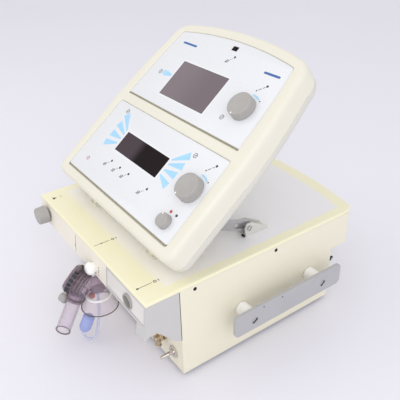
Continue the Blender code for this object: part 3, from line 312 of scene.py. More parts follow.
def softened(node, material, width, segments=3, angle=28.0, name=None):
    """Copy of a solid with its sharp edges rounded, which stands for that solid."""
    source = NODES[node]
    bm = bmesh.new()
    bm.from_mesh(source.data)
    bmesh.ops.remove_doubles(bm, verts=bm.verts, dist=2e-6)
    bmesh.ops.dissolve_limit(bm, angle_limit=math.radians(1.0), verts=bm.verts, edges=bm.edges)
    bmesh.ops.recalc_face_normals(bm, faces=bm.faces)
    mesh = bpy.data.meshes.new(name or f"{node}_skin")
    bm.to_mesh(mesh)
    bm.free()
    piece = add_piece(name or f"{node}_skin", mesh, material, source["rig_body"], (node,), 60.0)
    bevel = piece.modifiers.new("edge_rounding", "BEVEL")
    bevel.width = width * MM
    bevel.segments = segments
    bevel.limit_method = "ANGLE"
    bevel.angle_limit = math.radians(angle)
    bevel.harden_normals = True
    return piece


def dress(material, *nodes):
    """Give solids that are shown as they are their finish."""
    for node in nodes:
        slots = NODES[node].data.materials
        slots.clear()
        slots.append(bpy.data.materials[material])


# ---------------------------------------------------------------- materials


def linear(code):
    """sRGB hex to linear light: c/12.92 below 0.04045, else ((c + 0.055)/1.055)^2.4."""
    parts = [int(code[i:i + 2], 16) / 255.0 for i in (1, 3, 5)]
    return tuple(c / 12.92 if c <= 0.04045 else ((c + 0.055) / 1.055) ** 2.4 for c in parts)


def rgba(code):
    """Linear colour with an alpha of 1, from sRGB hex or from a linear colour."""
    return (*(linear(code) if isinstance(code, str) else code), 1.0)


def add(tree, kind, inputs=None, **settings):
    """One node with its settings; inputs are values, or sockets to link from."""
    node = tree.nodes.new(kind)
    for key, value in settings.items():
        setattr(node, key, value)
    for key, value in (inputs or {}).items():
        if isinstance(value, bpy.types.NodeSocket):
            tree.links.new(value, node.inputs[key])
        else:
            node.inputs[key].default_value = value
    return node


def new_material(name):
    """Node tree of a new material, and its Principled shader."""
    material = bpy.data.materials.new(name)
    material.use_nodes = True
    tree = material.node_tree
    return tree, tree.nodes["Principled BSDF"]


def blend_colour(tree, factor, first, second, mode="MIX"):
    """Mix of two colours by a factor socket."""
    values = {0: factor}
    for key, colour in ((6, first), (7, second)):
        values[key] = colour if isinstance(colour, bpy.types.NodeSocket) else rgba(colour)
    return add(tree, "ShaderNodeMix", values, data_type="RGBA", blend_type=mode).outputs[2]


def grained(
    name, colour, second, roughness, patch_mm, grain_mm, bump, metallic=0.0, ior=1.5, coat=0.0,
    stretch=None,
):
    """Finish with slow colour patches, finer roughness patches and a grain that lifts the surface.

    A noise of scale 1/size repeats about once in that size, so 1 mm grain is scale 1000 in metres.
    """
    tree, shader = new_material(name)
    place = add(tree, "ShaderNodeTexCoord").outputs["Object"]
    fine = place
    if stretch:
        fine = add(tree, "ShaderNodeMapping", {"Vector": place, "Scale": stretch}).outputs[0]
    patch = add(
        tree, "ShaderNodeTexNoise", {"Vector": place, "Scale": 1.0 / (patch_mm * MM), "Detail": 3.0},
    )
    mixed = blend_colour(tree, patch.outputs["Fac"], colour, second)
    grain = add(tree, "ShaderNodeTexNoise", {"Vector": fine, "Scale": 1.0 / (grain_mm * MM), "Detail": 2.0})
    rough = add(
        tree, "ShaderNodeMapRange",
        {
            "Value": patch.outputs["Fac"], "From Min": 0.3, "From Max": 0.7, "To Min": roughness - 0.06,
            "To Max": roughness + 0.06,
        },
    )
    lift = add(
        tree, "ShaderNodeBump", {"Strength": bump, "Distance": 0.1 * MM, "Height": grain.outputs["Fac"]},
    )
    tree.links.new(mixed, shader.inputs["Base Color"])
    tree.links.new(rough.outputs[0], shader.inputs["Roughness"])
    tree.links.new(lift.outputs[0], shader.inputs["Normal"])
    shader.inputs["Metallic"].default_value = metallic
    if metallic < 0.5:
        shader.inputs["IOR"].default_value = ior
    shader.inputs["Coat Weight"].default_value = coat
    shader.inputs["Coat Roughness"].default_value = 0.12
    return tree, shader, place, mixed


def ramp(tree, value, low, high):
    """0 below low, 1 above high, a smooth step between."""
    values = {"Value": value, "From Min": low, "From Max": high, "To Min": 0.0, "To Max": 1.0}
    return add(tree, "ShaderNodeMapRange", values, interpolation_type="SMOOTHSTEP").outputs[0]


def product(tree, *values):
    """Values multiplied with each other."""
    result = values[0]
    for value in values[1:]:
        result = add(tree, "ShaderNodeMath", {0: result, 1: value}, operation="MULTIPLY").outputs[0]
    return result


def yellowed_cover(settings):
    """Moulded ABS lid: light has yellowed it all round the place that the folded display covers."""
    tree, shader, place, mixed = grained(
        "abs_moulded_lid_yellowed", settings.yellowed, "#f1ecc6", 0.42, 60.0, 1.2, 0.10,
    )
    axes = add(tree, "ShaderNodeSeparateXYZ", {"Vector": place})
    drift = add(tree, "ShaderNodeTexNoise", {"Vector": place, "Scale": 28.0, "Detail": 2.0}).outputs["Fac"]
    shift = {"Value": drift, "To Min": -3.0 * MM, "To Max": 3.0 * MM}
    wander = add(tree, "ShaderNodeMapRange", shift).outputs[0]
    across = add(tree, "ShaderNodeMath", {0: axes.outputs["X"]}, operation="ABSOLUTE").outputs[0]
    across = add(tree, "ShaderNodeMath", {0: across, 1: wander}, operation="ADD").outputs[0]
    inside = ramp(tree, across, 160.0 * MM, 153.0 * MM)
    behind = ramp(tree, axes.outputs["Y"], (FRONT_Y + 30.0) * MM, (FRONT_Y + 46.0) * MM)
    bow = product(tree, axes.outputs["X"], axes.outputs["X"])
    terms = {0: bow, 1: 0.75, 2: axes.outputs["Y"]}
    edge = add(tree, "ShaderNodeMath", terms, operation="MULTIPLY_ADD").outputs[0]
    before = ramp(tree, edge, (FRONT_Y + 380.0) * MM, (FRONT_Y + 372.0) * MM)
    top = ramp(tree, axes.outputs["Z"], 151.0 * MM, 152.2 * MM)
    shaded = product(tree, inside, behind, before, top)
    near = ramp(tree, axes.outputs["Y"], (FRONT_Y + 60.0) * MM, (FRONT_Y + 200.0) * MM)
    pale = blend_colour(tree, near, "#f3f0e6", settings.unyellowed)
    tree.links.new(blend_colour(tree, shaded, mixed, pale), shader.inputs["Base Color"])


def hood_plastic(settings):
    """Moulded hood: creamy along its face, cool grey at the connection end and the cheek."""
    tree, shader, place, mixed = grained(
        "abs_moulded_hood", "#f1ebdc", "#ece6d6", 0.45, 50.0, 1.0, 0.12,
    )
    axes = add(tree, "ShaderNodeSeparateXYZ", {"Vector": place})
    end = ramp(tree, axes.outputs["X"], 65.5 * MM, 66.5 * MM)
    tree.links.new(blend_colour(tree, end, mixed, settings.hood_grey), shader.inputs["Base Color"])


def dark_screen(name, reflection_tint, deep, roughness, ior, start, end):
    """Unlit display behind its window: a milky layer under polished glass, paler towards one end by a
    painted reflection.
    """
    tree, shader = new_material(name)
    place = add(tree, "ShaderNodeTexCoord").outputs["Object"]
    axes = add(tree, "ShaderNodeSeparateXYZ", {"Vector": place})
    # Painted reflection: the colour turns from the pale reflected tint to the deep one along X.
    reflection_fade = ramp(tree, axes.outputs["X"], start * MM, end * MM)
    cloud = add(tree, "ShaderNodeTexNoise", {"Vector": place, "Scale": 22.0, "Detail": 2.0}).outputs["Fac"]
    terms = {0: cloud, 1: 0.12, 2: reflection_fade}
    reflection_fade = add(tree, "ShaderNodeMath", terms, operation="MULTIPLY_ADD", use_clamp=True).outputs[0]
    tree.links.new(blend_colour(tree, reflection_fade, reflection_tint, deep), shader.inputs["Base Color"])
    shader.inputs["Roughness"].default_value = roughness
    shader.inputs["IOR"].default_value = ior


def see_through(name, tint, edge_tint, strength, roughness=0.08):
    """Clear moulded plastic wall: more tint and gloss where the wall is seen edge on."""
    tree, shader = new_material(name)
    place = add(tree, "ShaderNodeTexCoord").outputs["Object"]
    ripple = add(tree, "ShaderNodeTexNoise", {"Vector": place, "Scale": 160.0, "Detail": 1.0}).outputs[
        "Fac"
    ]
    lift = add(tree, "ShaderNodeBump", {"Strength": 0.15, "Distance": 0.3 * MM, "Height": ripple}).outputs[
        0
    ]
    facing = add(tree, "ShaderNodeLayerWeight", {"Blend": 0.35, "Normal": lift}).outputs["Facing"]
    colour = blend_colour(tree, facing, tint, edge_tint)
    tree.links.new(colour, shader.inputs["Base Color"])
    tree.links.new(lift, shader.inputs["Normal"])
    shader.inputs["Roughness"].default_value = roughness
    shader.inputs["IOR"].default_value = 1.58
    clear = add(tree, "ShaderNodeBsdfTransparent", {"Color": rgba(tint)})
    amount = add(
        tree, "ShaderNodeMapRange",
        {"Value": facing, "To Min": strength, "To Max": min(1.0, strength + 0.55)},
    ).outputs[0]
    mix = add(tree, "ShaderNodeMixShader", {0: amount, 1: clear.outputs[0], 2: shader.outputs[0]})
    tree.links.new(mix.outputs[0], tree.nodes["Material Output"].inputs["Surface"])


def make_materials(settings):
    """Every finish; grained() takes roughness, patch size, grain size and bump."""
    yellowed_cover(settings)
    hood_plastic(settings)
    # Powder coat on steel sheet: satin, with a fine orange-peel skin
    grained("steel_powder_coated_cream", settings.case_cream, "#e7e2ca", 0.40, 90.0, 2.2, 0.20)
    # Moulded ABS of the display shells: fine spark-eroded grain, a little yellowed
    grained("abs_moulded_shell", settings.shell_ivory, "#e3dfcd", 0.40, 70.0, 1.1, 0.12)
    # Rear shell: the same ABS as the front one, made greyer; the grey is partly painted shade on the
    # display's rear side, partly a greyer moulding
    grained("abs_rear_shell_grey_and_shade", "#dcdacf", "#d5d3c8", 0.45, 60.0, 1.1, 0.14)
    # The connection plate: cooler grey ABS that hasn't yellowed
    grained("abs_moulded_plate_grey", "#e4e1da", "#dcd9d2", 0.45, 40.0, 1.0, 0.12)
    # Printed polyester film: near white with an even semi-gloss
    grained("polyester_film_printed", settings.film_white, "#e1e3e5", 0.30, 80.0, 1.6, 0.05, coat=0.15)
    # Light blue ink: flat wedges and arcs, a little glossier than the film
    grained("ink_light_blue", settings.ink_blue, "#9ccdee", 0.35, 20.0, 1.0, 0.03)
    # Bars in deep blue ink: the strongest colour on the panels
    grained("ink_deep_blue", "#2f62a8", "#34659f", 0.35, 20.0, 1.0, 0.03)
    # Fine symbols in dark grey ink, softer than black
    grained("ink_dark_grey", "#33363b", "#3d4045", 0.35, 20.0, 1.0, 0.03)
    # White ink round the windows and under the knobs, brighter than the film
    grained("ink_white", "#eaebeb", "#e7e8e9", 0.35, 20.0, 1.0, 0.03)
    # Red ink and lamp: small warm accents
    grained("ink_red", "#c4454b", "#b63f46", 0.35, 20.0, 1.0, 0.03)
    # Moulded knobs: warm grey ABS with a satin skin; on the inspiratory port this darker grey paints the
    # shade inside its bore
    grained("knob_grey_and_port_shade", settings.knob_grey, "#a3a09b", 0.42, 14.0, 0.9, 0.15)
    # Anodised aluminium rail: even lavender-grey oxide over drawn metal, lines along the bar
    grained(
        "aluminium_anodised_rail", settings.rail_grey, "#b0afb1", 0.42, 40.0, 1.2, 0.10, metallic=0.1,
        stretch=(1.0, 0.05, 1.0),
    )
    # Zinc-plated steel: a dull grey sheen with faint drawn lines
    grained(
        "steel_zinc_plated", "#b9b8ba", "#abaaad", 0.34, 12.0, 1.2, 0.12, metallic=0.6,
        stretch=(1.0, 0.1, 1.0),
    )
    # Satin zinc casting: pale and grainy, hardly metallic to the eye
    grained("zinc_die_cast_satin", "#d9d8d1", "#cecdc5", 0.40, 10.0, 0.8, 0.20, metallic=0.15)
    # Chrome plate: sharp warm reflections on small turned pieces
    grained("steel_chrome_plated", "#d9d3cb", "#c9c0b6", 0.16, 9.0, 1.0, 0.03, metallic=1.0)
    # Nickel plate on brass: warm grey, a softer mirror than chrome
    grained("brass_nickel_plated", "#c9b79c", "#b9a688", 0.24, 8.0, 1.0, 0.05, metallic=1.0)
    # Black ABS: satin, so edges still catch light
    grained("abs_moulded_black", "#26262a", "#2c2c30", 0.42, 20.0, 0.9, 0.2)
    # Black-oxide steel with a slight gleam for the black cover screws; it also colours the dark bars that
    # paint the shade inside screw slots
    grained("black_oxide_and_slot_shade", "#1d1d1f", "#2a2a2c", 0.30, 5.0, 0.8, 0.1, metallic=0.6)
    # Moulded rubber of the feet and stops: matt and almost without a highlight; it also colours the black
    # strips that paint the shade in the hood's seams
    grained("black_rubber_and_seam_shade", "#1b1b1c", "#232324", 0.72, 12.0, 0.9, 0.3)
    # Painted shade: matt olive strips in the grooves along the panels' lower edges, standing for the shadow
    # in the gaps
    grained("groove_shade_olive", "#a09a80", "#928c74", 0.65, 12.0, 0.9, 0.2)
    # Glass-epoxy board: green under a glossy solder mask
    grained("glass_epoxy_green", "#1f5a38", "#2a6844", 0.35, 16.0, 1.4, 0.1, coat=0.3)
    # White ABS: clean and bright beside the yellowed pieces
    grained("abs_moulded_white", "#f7f6f2", "#f1f0ea", 0.35, 14.0, 0.9, 0.06)
    # Red silicone: soft satin, seen through the clear walls
    grained("silicone_moulded_red", "#c8594a", "#b94d40", 0.4, 6.0, 0.8, 0.1)
    # Brown-grey ABS: rims and ribs that draw the edges of the clear pieces
    grained("abs_moulded_brown_grey", "#5f5252", "#6d5f5e", 0.32, 8.0, 0.9, 0.1)
    # Upper display, unlit: milky grey-brown behind dull glass, a little paler towards one end by a painted
    # reflection
    dark_screen("lcd_glass_unlit", "#7c7174", "#6f6468", 0.3, 1.38, -60.0, 20.0)
    # Lower display: near black, with a painted reflection that makes one end paler
    dark_screen("lcd_glass_dark", "#4a3f45", "#120509", 0.25, 1.18, -34.0, -8.0)
    # Moulded polysulfone: smoky purple, darker where the wall is seen edge on
    see_through("polysulfone_moulded_smoky", "#dfd3dd", "#2b1e28", 0.14)
    # Moulded polycarbonate: nearly clear, with dark edges
    see_through("polycarbonate_moulded_clear", "#faf7fa", "#4a3946", 0.03)
    # Blue polypropylene: cloudy, half opaque
    see_through("polypropylene_blue", "#c6d0f2", "#93a4e4", 0.45)
    # Clear PVC tubing: milky, with a cool tint
    see_through("pvc_tubing_clear", "#eceef8", "#b4bad6", 0.28)


# ---------------------------------------------------------------- settings


def colour_setting(name, description, code):
    return bpy.props.FloatVectorProperty(
        name=name, description=description, default=linear(code), size=3, min=0.0, max=1.0, subtype="COLOR",
    )


class VentilatorFinishSettings(bpy.types.PropertyGroup):
    """Colours of the visible finishes."""

    yellowed: colour_setting("Yellowed lid", "Lid where light has yellowed it", "#f3efd2")
    unyellowed: colour_setting("Unyellowed lid", "Lid where the folded display covers it", "#eceaea")
    case_cream: colour_setting("Case paint", "Powder coat of the sheet sides", "#ece7d2")
    hood_grey: colour_setting("Hood grey", "Connection end of the hood", "#c6c4c1")
    shell_ivory: colour_setting("Display shell", "Shells of the display", "#e8e5d5")
    film_white: colour_setting("Panel film", "Ground colour of the printed panels", "#e5e6e7")
    ink_blue: colour_setting("Blue ink", "Light blue of the panel's marks", "#a8dbf7")
    knob_grey: colour_setting("Knobs", "Grey of the knobs", "#aeaba6")
    rail_grey: colour_setting("Rail", "Anodised rail", "#b9b8b9")


class VentilatorSizeSettings(bpy.types.PropertyGroup):
    """Sizes of details that the solids leave out."""

    lip_radius: bpy.props.FloatProperty(
        name="Panel lip", description="Rounding of the frame round the panels", default=1.8 * MM,
        unit="LENGTH",
    )
    rail_edge: bpy.props.FloatProperty(
        name="Rail edge", description="Rounding of the rail's edges", default=1.1 * MM, unit="LENGTH",
    )
    screw_head: bpy.props.FloatProperty(
        name="Cover screws", description="Head diameter of the cover screws", default=5.6 * MM,
        unit="LENGTH",
    )
    print_height: bpy.props.FloatProperty(
        name="Ink height", description="How far the prints stand over the film", default=0.06 * MM,
        unit="LENGTH",
    )


class VentilatorStageSettings(bpy.types.PropertyGroup):
    """Light and lens."""

    key_power: bpy.props.FloatProperty(name="Key light", description="Key light", default=6.0, unit="POWER")
    fill_power: bpy.props.FloatProperty(
        name="Fill light", description="Fill light", default=17.0, unit="POWER",
    )
    lens: bpy.props.FloatProperty(
        name="Lens", description="Focal length in mm", default=49.05, unit="CAMERA",
    )
    floor: colour_setting("Floor", "Colour of the table", "#eceaf0")


# ---------------------------------------------------------------- case


def screw_parts(centre, axis, radius, height, slot_turn=0.0, cross=False, slot=0.15):
    """Domed head, turned, and a dark bar or cross let into its top, which paints the shade inside the slot.
    """
    profile = [
        (0.0, height), (radius * 0.55, height * 0.94), (radius * 0.85, height * 0.7),
        (radius, height * 0.25),
    ]
    profile += [(radius, -0.4), (0.0, -0.4)]
    head = turned(profile, centre, axis, 28)
    e1, e2, e3 = axes_for(axis)
    a = math.radians(slot_turn)
    along, across = e1 * math.cos(a) + e2 * math.sin(a), -e1 * math.sin(a) + e2 * math.cos(a)
    bars = []
    for u, v in ((along, across), (across, along))[: 2 if cross else 1]:
        place = placed(np.asarray(centre, float), u, v, e3)
        length = radius * (0.62 if cross else 0.93)
        half = radius * slot
        outline = [(-length, -half), (length, -half), (length, half), (-length, half)]
        bars += plate(outline, height * 0.5, height + 0.05, (), place)
    return head, bars


def add_screws(
    name, places, axis_of, radius, height, head_material, body, cross=False, turn=20.0, step=37.0,
    slot=0.15,
):
    """Heads and slots of a row of screws, each turned on by step degrees from the one before; each slot is a
    dark bar of painted shade.
    """
    heads, bars = [], []
    for index, centre in enumerate(places):
        head, slots = screw_parts(centre, axis_of(centre), radius, height, turn + step * index, cross, slot)
        heads.append(head)
        bars += slots
    make_piece(f"{name}_heads", heads, head_material, body)
    # Dark bars that paint the shade inside the screw slots.
    make_piece(f"{name}_slots", bars, "black_oxide_and_slot_shade", body)


def side_of(centre):
    """Outward direction of the side that a place is on."""
    return (1.0 if centre[0] > 0 else -1.0, 0.0, 0.0)


def build_case(sizes):
    """Finishes of the case, its cover screws, and black strips that paint the shade in the hood's side
    seams.
    """
    dress("abs_moulded_lid_yellowed", "top_cover")
    dress(
        "steel_powder_coated_cream", "side_panel_left", "side_panel_right", "rear_panel", "front_bulkhead",
    )
    dress("abs_moulded_hood", "front_hood")
    softened("port_plate", "abs_moulded_plate_grey", 0.5)
    # Painted shade: the port takes the knobs' darker grey to stand for the shade inside its bore.
    dress("knob_grey_and_port_shade", "inspiratory_port")
    dress("steel_zinc_plated", "base_tray")
    dress("black_rubber_and_seam_shade", *[n for n in NODES if n.startswith("foot_")])
    # Thin black strips at the hood's side seams: painted shade in the gaps.
    seams = []
    for side in (-172.5, 172.3):
        seams += block((side, FRONT_Y + 49.5, 64.5), (side + 0.2, FRONT_Y + 50.4, 147.6))
    make_piece("hood_seam_shade_strips", seams, "black_rubber_and_seam_shade", "case")
    places = []
    for side in (-SIDE_FACE, SIDE_FACE):
        places += [(side, FRONT_Y + 74.0, 142.2), (side, FRONT_Y + 215.0, 142.2)]
    add_screws(
        "cover_screw", places, side_of, sizes.screw_head / MM / 2, 0.9, "black_oxide_and_slot_shade", "case", True,
    )


# ---------------------------------------------------------------- rails


def build_rails(sizes):
    """Rounded rails, their spacers, slotted screws and set pins."""
    for word in ("left", "right"):
        softened(f"side_rail_{word}", "aluminium_anodised_rail", sizes.rail_edge / MM, 4)
        for row in ("front", "rear"):
            softened(f"rail_spacer_{word}_{row}", "abs_moulded_white", 1.5)
    places = []
    for side in (-RAIL_FACE, RAIL_FACE):
        places += [(side, FRONT_Y + 152.4, 66.5), (side, FRONT_Y + 286.0, 67.5)]
    add_screws("rail_screw", places, side_of, 5.2, 1.2, "steel_zinc_plated", "case", False, 17.0, 9.0, 0.3)
    marks = []
    for side in (-RAIL_FACE, RAIL_FACE):
        for depth, height in ((168.6, 82.6), (203.4, 82.8)):
            marks.append(turned([(0.0, 0.25), (1.0, 0.2), (1.2, -0.2), (0.0, -0.2)],
                                (side, FRONT_Y + depth, height), side_of((side,)), 12))
    make_piece("rail_set_pins", marks, "black_oxide_and_slot_shade", "case")


# ---------------------------------------------------------------- display


def crown(x, top):
    """Arc that ends the display: top - R + sqrt(R^2 - x^2)."""
    return top - SLAB_ARC + np.sqrt(SLAB_ARC**2 - x**2)


def slab_outline():
    """Plan of the display: quarter-circle foot corners, sides that draw in by a square law, arc on top."""
    half, corner = 168.0, 18.0
    foot = arc((half - corner, -20.0 + corner), corner, -90, 0, 14)
    up = np.linspace(20.0, 262.0, 34)
    side = np.stack([half - 13.0 * (np.maximum(up - 115.0, 0.0) / 135.0) ** 2, up], 1)
    x = np.array([130.0, 140.0, 147.4, 151.4])[::-1]
    shoulder = np.stack([x, np.array([300.0, 294.5, 286.0, 275.0])[::-1]], 1)
    top_x = np.linspace(105.0, 0.0, 22)
    top = np.stack([top_x, crown(top_x, 313.0)], 1)
    corner_line = smooth_line(np.concatenate([side[-1:], shoulder, top[:1]]), 8)
    right = np.concatenate([foot, side[:-1], corner_line, top[1:]])
    return np.concatenate([right, (right[:-1] * (-1.0, 1.0))[::-1]])


def panel_outline(which, grow, foot=0.0):
    """Plan of a printed panel, grown outwards; its lower edge may reach further down by foot."""
    if which == "upper":
        top_x = np.linspace(122.0, -122.0, 33)
        top = np.stack([top_x, crown(top_x, 295.0)], 1)
        side = [(142.0, 152.7 - foot), (141.2, 160.0), (136.5, 230.0), (131.5, 268.0), (130.3, 276.0)]
        corner = smooth_line([(130.3, 276.0), (129.6, 280.2), (127.2, 282.8), (122.0, float(top[0, 1]))], 6)
        right = np.concatenate([smooth_line(side, 6)[:-1], corner])
        left = (right * (-1.0, 1.0))[::-1]
        return inset(np.concatenate([right[:-1], top, left[1:]]), -grow)
    points = np.array([(-148.0, -foot), (148.0, -foot), (145.0, 133.0), (-145.0, 133.0)])
    radius = 4.0
    rounded_points = []
    for i in range(4):
        here, before, after = points[i], points[i - 1], points[(i + 1) % 4]
        a = here + (before - here) / np.linalg.norm(before - here) * radius
        b = here + (after - here) / np.linalg.norm(after - here) * radius
        t = np.linspace(0, 1, 7)[:, None]
        rounded_points.append(a * (1 - t) ** 2 + here * 2 * t * (1 - t) + b * t**2)
    return inset(np.concatenate(rounded_points), -grow)


def at(outline, height):
    """Outline lifted to a height over the slab's face, in the world."""
    return slab(np.concatenate([outline, np.full((len(outline), 1), height)], 1))


def flat_between(outer, holes, height):
    """Triangles of a flat field between an outline and its holes."""
    loops = [outer, *holes]
    triangles = tessellate_polygon([[Vector((*p, 0.0)) for p in loop] for loop in loops])
    return at(np.concatenate(loops), height), [list(t) for t in triangles]


def build_bezel(sizes):
    """Front shell: quarter-ellipse outer edge, flat frame, and a quarter-round lip down to each panel."""
    outline = slab_outline()
    lip = sizes.lip_radius / MM
    a = np.linspace(0.0, math.pi / 2, 11)
    outer = [at(inset(outline, 3.0), SHELL_FOOT), at(outline, SHELL_FOOT)]
    outer += [
        at(inset(outline, FRAME_ROUND - FRAME_ROUND * math.cos(t)), -8.0 + 9.5 * math.sin(t)) for t in a
    ]
    parts = [rings(outer)]
    tops, floors = [], []
    for which in ("lower", "upper"):
        grows = [0.5 + lip * (1 - math.sin(t)) for t in np.linspace(0, math.pi / 2, 6)]
        heights = [FRAME_LEVEL - lip * (1 - math.cos(t)) for t in np.linspace(0, math.pi / 2, 6)]
        loops = [at(panel_outline(which, g, 2.6), h) for g, h in zip(grows, heights)]
        base = panel_outline(which, 0.5, 2.6)
        inner = inset(base, 9.0)
        loops += [at(base, FIELD_LEVEL), at(inner, FIELD_LEVEL), at(inner, SEAT_LEVEL)]
        parts.append(rings(loops))
        tops.append(panel_outline(which, grows[0], 2.6))
        floors.append(inner)
    frame_line, wall_line = inset(outline, FRAME_ROUND), inset(outline, 3.0)
    parts.append(flat_between(frame_line, tops, FRAME_LEVEL))
    parts.append(flat_between(frame_line, floors, SEAT_LEVEL))
    parts.append(rings([at(frame_line, SEAT_LEVEL), at(wall_line, -9.0), at(wall_line, SHELL_FOOT)]))
    make_piece(
        "display_frame_skin", parts, "abs_moulded_shell", "display", ("display_bezel",),
        40.0,
    )
    # Matt olive strips in the grooves along the panels' lower edges: painted shade of the gaps.
    grooves = []
    for low, half in ((-2.2, 146.0), (150.6, 140.0)):
        grooves += plate(rounded(-half, half, low - 0.4, low + 2.0, 1.1, 4), FIELD_LEVEL, -0.9, (), slab)
    make_piece("panel_groove_shade_strips", grooves, "groove_shade_olive", "display")


def build_panels():
    """Printed films with their windows and knob holes, and the finishes of what lies behind them."""
    for which, screen in (("lower", LOWER_SCREEN), ("upper", UPPER_SCREEN)):
        window = rounded(*screen, 0.8, 3)[::-1]
        mine = [knob for knob in KNOBS if (knob == "upper") == (which == "upper")]
        holes = [disc(KNOBS[knob][0], KNOBS[knob][1], 5.0, 24)[::-1] for knob in mine]
        parts = plate(panel_outline(which, 0.0), -1.2, 0.0, [window, *holes], slab, 0.25)
        make_piece(
            f"{which}_panel_film", parts, "polyester_film_printed", "display",
            (f"{which}_panel",), 30.0,
        )
        x0, x1, y0, y1 = screen
        outside = rounded(x0 - 2.6, x1 + 2.6, y0 - 2.6, y1 + 2.6, 1.5, 4)
        inside = rounded(x0 + 0.05, x1 - 0.05, y0 + 0.05, y1 - 0.05, 0.8, 3)[::-1]
        border = plate(outside, -0.02, 0.03, [inside], slab)
        make_piece(f"{which}_window_border", border, "ink_white", "display")
    dress("lcd_glass_unlit", "upper_screen")
    dress("lcd_glass_dark", "lower_screen")
    # The rear shell's greyer finish is partly painted shade on the display's rear side.
    dress("abs_rear_shell_grey_and_shade", "display_rear_cover")
    dress("glass_epoxy_green", "display_board")
    eye = plate(rounded(0.0, 12.0, 279.2, 286.8, 0.8, 4), -0.02, 0.35, (), slab, 0.3)
    make_piece("light_sensor_window", eye, "lcd_glass_dark", "display")


# ---------------------------------------------------------------- prints


def wedge(tip, tip_width, end, end_width):
    """Tapered bar from tip to end, its ends square to its line."""
    tip, end = np.array(tip), np.array(end)
    along = (end - tip) / np.linalg.norm(end - tip)
    across = np.array([-along[1], along[0]])
    return [
        tip - across * tip_width / 2, end - across * end_width / 2, end + across * end_width / 2,
        tip + across * tip_width / 2,
    ]


def stroke(start, end, width):
    return wedge(start, width, end, width)


def ring_print(x, y, radius, width, start=0.0, end=360.0, steps=28):
    """Printed arc as one closed outline: out along one radius, back along the other."""
    outer, inner = arc((x, y), radius + width / 2, start, end, steps), arc(
        (x, y), radius - width / 2, start, end, steps,
    )
    return np.concatenate([outer, inner[::-1]])


def print_shapes(name, shapes, low, high, place, material, body):
    """Flat marks of one ink as one piece."""
    parts = []
    for shape in shapes:
        parts += plate(shape, low, high, (), place)
    make_piece(name, parts, material, body)


